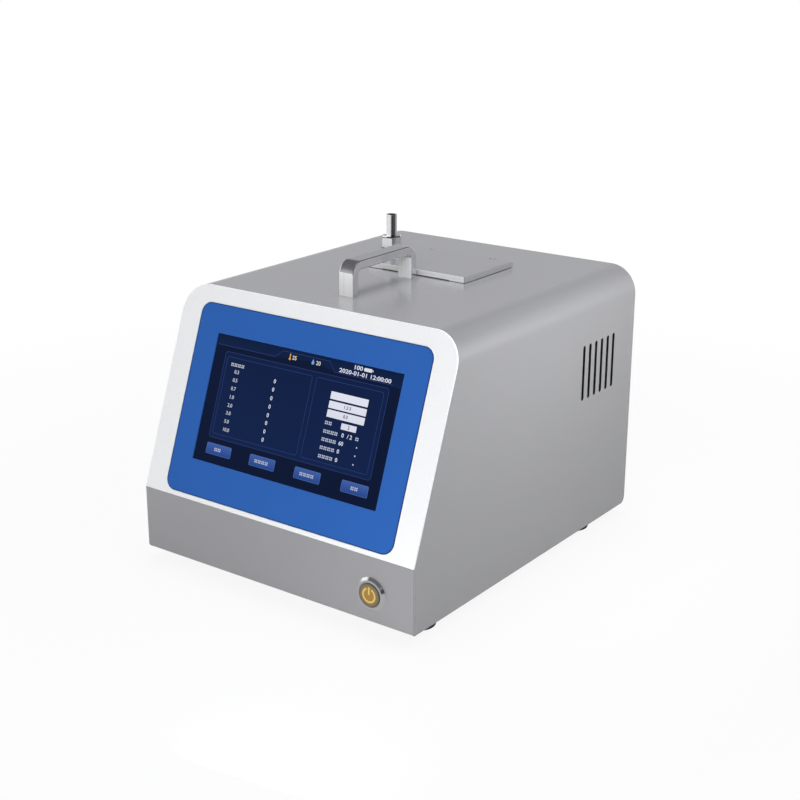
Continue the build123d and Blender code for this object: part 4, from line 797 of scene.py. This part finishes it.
weld = {"merge": 0.0000008, "flat": 0.0000004}  # metres


def finishPiece(name, mesh, material, body):
    # merges points that lie closer than a micrometre and turns the faces outwards
    work = bmesh.new()
    work.from_mesh(mesh)
    bmesh.ops.remove_doubles(work, verts=work.verts, dist=weld["merge"])
    bmesh.ops.dissolve_degenerate(work, edges=work.edges, dist=weld["flat"])
    bmesh.ops.recalc_face_normals(work, faces=work.faces)
    work.to_mesh(mesh)
    work.free()
    mesh.materials.append(material)
    piece = bpy.data.objects.new(name, mesh)
    bpy.context.scene.collection.objects.link(piece)
    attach(piece, body)
    return piece


outlineForm = {"steps": 6, "smallSteps": 4, "smallestRadius": 0.05}  # steps in a quarter turn


def roundedOutline(centre, size, radius, steps=outlineForm["steps"]):
    # an angle goes once round; each quarter turn is drawn about its own corner of the rectangle
    quarter = np.repeat(np.arange(4), steps)
    angle = quarter * np.pi / 2 + np.tile(np.linspace(0, np.pi / 2, steps), 4)
    middle = quarter * np.pi / 2 + np.pi / 4
    across = centre[0] + np.sign(np.cos(middle)) * (size[0] / 2 - radius) + radius * np.cos(angle)
    up = centre[1] + np.sign(np.sin(middle)) * (size[1] / 2 - radius) + radius * np.sin(angle)
    return np.stack([across, up], -1)


def withHeight(outline, height):
    # every point of the outline with one height out of the face
    return np.concatenate([outline, np.full((len(outline), 1), height)], -1)


def ringRows(inner, outer, low, high):
    # a small oblong between two lines: inner and outer line below, then outer and inner line above
    corners = ((inner, low), (outer, low), (outer, high), (inner, high))
    return np.stack([withHeight(line, height) for line, height in corners])


def plateGrid(outline, low, high):
    # centre, outline below, outline above, centre: a closed flat plate
    centre = np.broadcast_to(outline.mean(0), outline.shape)
    return onSlope(ringRows(centre, outline, low, high)), False, True


def frameGrid(centre, size, radius, lineWidth, low, high):
    # the small oblong carried round the outline, whose inner line lies one line width inside the outer one
    innerSize = (size[0] - 2 * lineWidth, size[1] - 2 * lineWidth)
    inner = roundedOutline(centre, innerSize, max(radius - lineWidth, outlineForm["smallestRadius"]))
    return onSlope(ringRows(inner, roundedOutline(centre, size, radius), low, high)), True, True


def ribbonGrid(path, lineWidth, low, high):
    # the small oblong carried along an open path, half a line width to each side, closed at both ends
    path = np.asarray(path, float)
    step = np.gradient(path, axis=0)
    side = np.stack([-step[:, 1], step[:, 0]], -1)
    side *= lineWidth / 2 / np.linalg.norm(side, axis=1, keepdims=True)
    ring = ringRows(path - side, path + side, low, high).swapaxes(0, 1)
    first, last = (np.broadcast_to(end.mean(0), end.shape)[None] for end in (ring[0], ring[-1]))
    return onSlope(np.concatenate([first, ring, last])), False, True


# the lit picture on the display, in flat layers over the glass; places are across and up the slope
display = {
    "glassFace": -0.8,  # the glass lies this far under the face of the overlay
    "layer": 0.03,  # each layer of the picture stands this much above the one below
    "overlap": 0.005,  # and reaches this far into it
    "ground": (0.001, 0.001, 0.002),
    "roughness": 0.15,
    "shine": 0.04,
    "pixels": 3500.0,
    "pixelShare": 0.12,
    "brightness": 1.0,
    "heights": (25.0, 115.0),  # a colour fades to its foot colour between these heights up the slope
    "footShare": 0.9,
}


def layer(number):
    # lower and upper face of a layer
    low = display["glassFace"] + (number - 1) * display["layer"] - display["overlap"]
    return low, display["glassFace"] + number * display["layer"]


def cornerOutline(low, high, radius):
    # a rounded rectangle from its lower left and upper right corners
    centre = ((low[0] + high[0]) / 2, (low[1] + high[1]) / 2)
    return roundedOutline(centre, (high[0] - low[0], high[1] - low[1]), radius, outlineForm["smallSteps"])


def cornerPlate(low, high, radius, number):
    # a plate of that outline in one layer
    return plateGrid(cornerOutline(low, high, radius), *layer(number))


def litMaterial(look):
    # a lit area of the display: it shines by itself, with faint pixels and a slow change up the panel
    material, shader = startMaterial(look["material"])
    up = slopeCoordinates(material)[1]
    pixels = grainOf(material, display["pixels"], detail=0.0)
    start, end = np.array(look.get("heights", display["heights"])) * millimetre
    foot = look.get("foot", np.array(look["color"]) * display["footShare"])
    tone = mixColors(material, between(material, up, 0.0, 1.0, start, end), foot, look["color"])
    tone = mixColors(material, between(material, pixels, 0.0, display["pixelShare"]), tone, (0.0, 0.0, 0.0))
    feed(material, shader.inputs["Emission Color"], tone)
    feed(material, shader.inputs["Emission Strength"], display["brightness"])
    feed(material, shader.inputs["Base Color"], display["ground"])
    feed(material, shader.inputs["Roughness"], display["roughness"])
    feed(material, shader.inputs["Specular IOR Level"], display["shine"])
    return material


def litPiece(name, grids, look):
    return gridPiece(name, grids, litMaterial(look), "housing")


picture = {
    "material": "displayBorder", "color": (0.0035, 0.0090, 0.036),
    "low": (-76.6, 27.6), "high": (76.6, 113.1), "radius": 0.4,
}
panel = {
    "material": "displayPanel", "color": (0.0042, 0.0140, 0.060), "foot": (0.0052, 0.0165, 0.070),
    "heights": (45, 102), "centre": (0.25, 73.55), "size": (135.9, 58.3), "radius": 2.2,
}
tab = {
    "material": "displayTab", "color": (0.0036, 0.0130, 0.052), "foot": (0.0050, 0.0170, 0.062),
    "heights": (104, 113),
    "outline": [(76, 112.9), (76, 104.0), (70, 105.0), (24.2, 105.0), (18.9, 111.0), (-20.3, 111.0),
                (-25.6, 106.2), (-76, 106.2), (-76, 112.9)],
}
lines = {
    "material": "displayLine", "color": (0.022, 0.042, 0.16), "width": 0.42,
    "frames": [((0.25, 73.55), (135.9, 58.3), 2.2), ((-28.7, 73.45), (73.2, 52.3), 1.8),
               ((38.0, 73.45), (53.8, 52.3), 1.8)],
    # the edge of the tab, with a point halfway along each level run
    "path": [(-76, 106.2), (-50, 106.2), (-25.6, 106.2), (-20.3, 111.0), (0, 111.0), (18.9, 111.0),
             (24.2, 105.0), (50, 105.0), (70, 105.0)],
}


def makeDisplayPicture():
    ground = cornerPlate(picture["low"], picture["high"], picture["radius"], 1)
    litPiece("displayPicture", [ground], picture)
    panelOutline = roundedOutline(panel["centre"], panel["size"], panel["radius"])
    litPiece("displayPanels", [plateGrid(panelOutline, *layer(2))], panel)
    litPiece("displayTab", [plateGrid(np.array(tab["outline"]), *layer(2))], tab)
    runs = [frameGrid(*shape, lines["width"], *layer(3)) for shape in lines["frames"]]
    runs.append(ribbonGrid(lines["path"], lines["width"], *layer(3)))
    litPiece("displayLines", runs, lines)


buttons = {
    "material": "displayButton", "color": (0.055, 0.120, 0.385), "foot": (0.018, 0.062, 0.27),
    "heights": (33.4, 40.8), "radius": 0.9,
    "spans": ((-67.4, -45.7), (-29.2, -7.6), (8.9, 30.2), (47.2, 68.2)),
}
buttonRims = {"material": "displayRim", "color": (0.10, 0.19, 0.50), "width": 0.22}


def makeDisplayButtons():
    bottom, top = buttons["heights"]
    radius = buttons["radius"]
    plates = [cornerPlate((left, bottom), (right, top), radius, 2) for left, right in buttons["spans"]]
    litPiece("displayButtons", plates, buttons)
    rims = []
    for left, right in buttons["spans"]:
        centre, size = ((left + right) / 2, (bottom + top) / 2), (right - left, top - bottom)
        rims.append(frameGrid(centre, size, radius, buttonRims["width"], *layer(3)))
    litPiece("displayButtonRims", rims, buttonRims)


# lower left and upper right corner of each box, and its corner radius
boxes = {
    "material": "displayBox", "color": (0.80, 0.82, 0.92), "foot": (0.72, 0.74, 0.86), "heights": (70, 93),
    "shapes": [((24.9, 88.1), (54.6, 92.9), 0.25), ((24.9, 82.3), (54.6, 86.9), 0.25),
               ((24.9, 76.5), (54.6, 81.3), 0.25), ((37.8, 70.9), (49.8, 74.8), 0.25)],
}
battery = {
    "material": "displayCharge", "color": (0.75, 0.77, 0.85),
    "shapes": [((46.2, 109.6), (52.4, 111.8), 0.5), ((52.7, 110.2), (53.4, 111.2), 0.1)],
}


def makeDisplayBoxes():
    for name, look in (("displayBoxes", boxes), ("displayBattery", battery)):
        litPiece(name, [cornerPlate(*shape, 3) for shape in look["shapes"]], look)


captionMarks = {
    "material": "displayMark", "color": (0.56, 0.59, 0.72),
    # left edge, middle height and count of blocks of each group
    "groups": [(-61.0, 94.8, 4), (24.9, 72.8, 2), (24.9, 67.3, 4), (24.9, 62.1, 4), (24.9, 56.8, 4),
               (24.9, 51.3, 4), (-60.2, 37.1, 2), (-24.8, 37.1, 4), (13.4, 37.1, 4), (54.8, 37.1, 2),
               (50.6, 67.3, 1)],
    "units": [(52.4, 62.1), (52.4, 56.8), (52.4, 51.3)],
    "step": 3.0, "dot": (0.98, 0.88), "gap": 0.36, "radius": 0.15,
}


def makeDisplayMarks():
    # captions stand as groups of small blocks of two by two dots, and units as single dots
    width, height = captionMarks["dot"]
    half = captionMarks["gap"] / 2
    corners = []
    for left, middle, count in captionMarks["groups"]:
        for number in range(count):
            centre = left + captionMarks["step"] * number + width + half
            columns, rows = (centre - half - width, centre + half), (middle - half - height, middle + half)
            corners += [(across, up) for across in columns for up in rows]
    dots = [(low, (low[0] + width, low[1] + height)) for low in corners]
    dots += [((left, up - height / 2), (left + width, up + height / 2)) for left, up in captionMarks["units"]]
    plates = [cornerPlate(low, high, captionMarks["radius"], 4) for low, high in dots]
    litPiece("displayMarks", plates, captionMarks)


thermometer = {
    "material": "displayAmber", "color": (0.80, 0.42, 0.06),
    "stem": ((-13.9, 107.3), (-13.1, 110.3), 0.38), "bulb": ((-13.5, 106.9), 0.85, 0.0),
}
waterDrop = {"material": "displaySky", "color": (0.16, 0.40, 0.80), "shape": ((5.6, 107.6), 1.15, 1.2)}


dropForm = {"points": 24, "narrowing": 0.55}


def dropOutline(centre, radius, rise):
    # a circle whose upper half is drawn up to a point: its height grows by the cube of the sine, its width
    # shrinks by the square
    angle = np.linspace(0, 2 * np.pi, dropForm["points"], endpoint=False)
    upper = np.sin(angle) > 0
    lift = np.where(upper, np.sin(angle) ** 3 * rise, 0.0)
    narrow = np.where(upper, 1 - dropForm["narrowing"] * np.sin(angle) ** 2, 1.0)
    across = centre[0] + radius * np.cos(angle) * narrow
    return np.stack([across, centre[1] + radius * np.sin(angle) + lift], -1)


def makeDisplaySigns():
    # a bulb under a narrow stem for the temperature, a drop for the humidity: each stands left of its reading
    stem = cornerPlate(*thermometer["stem"], 3)
    bulb = plateGrid(dropOutline(*thermometer["bulb"]), *layer(3))
    litPiece("displayThermometer", [stem, bulb], thermometer)
    litPiece("displayDrop", [plateGrid(dropOutline(*waterDrop["shape"]), *layer(3))], waterDrop)


# figures: words, place, side that stands on the place, and where one is given the width they are drawn out to
rowHeights = (90.3, 84.8, 79.1, 73.5, 67.8, 62.6, 57.0, 51.5)
sizeFigures = {
    "material": "displaySize", "color": (0.58, 0.61, 0.73), "size": 3.4, "layer": 4, "left": -57.0,
    "words": ("0.3", "0.5", "0.7", "1.0", "2.0", "3.0", "5.0", "10.0"),
}
figures = {
    "material": "displayFigure", "color": (0.80, 0.82, 0.95), "size": 3.7, "layer": 4, "counts": -21.7,
    "words": [
        ("0", (39.5, 67.3), "LEFT"), ("/ 2", (44.0, 67.3), "LEFT"), ("60", (38.5, 62.1), "LEFT"),
        ("0", (38.5, 56.8), "LEFT"), ("0", (38.5, 51.3), "LEFT"),
        ("2020-01-01 12:00:00", (68.2, 106.9), "RIGHT", 40.7), ("100", (45.2, 110.7), "RIGHT", 6.4),
    ],
}
readings = {
    "material": "displayReading", "color": (0.80, 0.72, 0.62), "size": 3.7, "layer": 4,
    "words": [("25", (-11.6, 107.9), "LEFT"), ("20", (8.2, 107.9), "LEFT")],
}
boxFigures = {
    "material": "displayDark", "color": (0.02, 0.02, 0.05), "size": 2.9, "layer": 5,
    "words": [
        ("1 2 3", (39.7, 84.6), "CENTER"), ("0.3", (39.7, 78.9), "CENTER"), ("2", (43.8, 72.8), "CENTER"),
    ],
}
lettering = {"boldness": 0.055, "curveSteps": 3}


def textPoints(words, size, place, align, low, high, width=None):
    # a text curve made a mesh, drawn out to a width where one is given, then laid on the slope
    curve = bpy.data.curves.new("figures", "FONT")
    curve.body = words
    curve.size = size
    curve.offset = lettering["boldness"]
    curve.align_x = align
    curve.align_y = "CENTER"
    curve.resolution_u = lettering["curveSteps"]
    curve.extrude = (high - low) / 2
    holder = bpy.data.objects.new("figures", curve)
    mesh = bpy.data.meshes.new_from_object(holder)
    points = np.zeros(len(mesh.vertices) * 3)
    mesh.vertices.foreach_get("co", points)
    points = points.reshape(-1, 3)
    if width:
        points[:, 0] *= width / np.ptp(points[:, 0])
    points += (place[0], place[1], (low + high) / 2)
    faces = [tuple(face.vertices) for face in mesh.polygons]
    bpy.data.objects.remove(holder)
    bpy.data.curves.remove(curve)
    bpy.data.meshes.remove(mesh)
    return onSlope(points), faces


def textPiece(name, entries, look):
    # all words of one look in one mesh
    points, faces, offset = [], [], 0
    for words, place, align, *width in entries:
        spots, loops = textPoints(words, look["size"], place, align, *layer(look["layer"]), *width)
        points.append(spots)
        faces += [tuple(index + offset for index in loop) for loop in loops]
        offset += len(spots)
    mesh = bpy.data.meshes.new(name)
    mesh.from_pydata(np.concatenate(points).tolist(), [], faces)
    return finishPiece(name, mesh, litMaterial(look), "housing")


def makeDisplayFigures():
    left = sizeFigures["left"]
    sizes = [(words, (left, up), "LEFT") for words, up in zip(sizeFigures["words"], rowHeights)]
    counts = [("0", (figures["counts"], up), "CENTER") for up in rowHeights]
    textPiece("displaySizes", sizes, sizeFigures)
    textPiece("displayFigures", counts + figures["words"], figures)
    textPiece("displayReadings", readings["words"], readings)
    textPiece("displayBoxFigures", boxFigures["words"], boxFigures)


makeDisplayPicture()
makeDisplayButtons()
makeDisplayBoxes()
makeDisplayMarks()
makeDisplaySigns()
makeDisplayFigures()
print("display drawn")
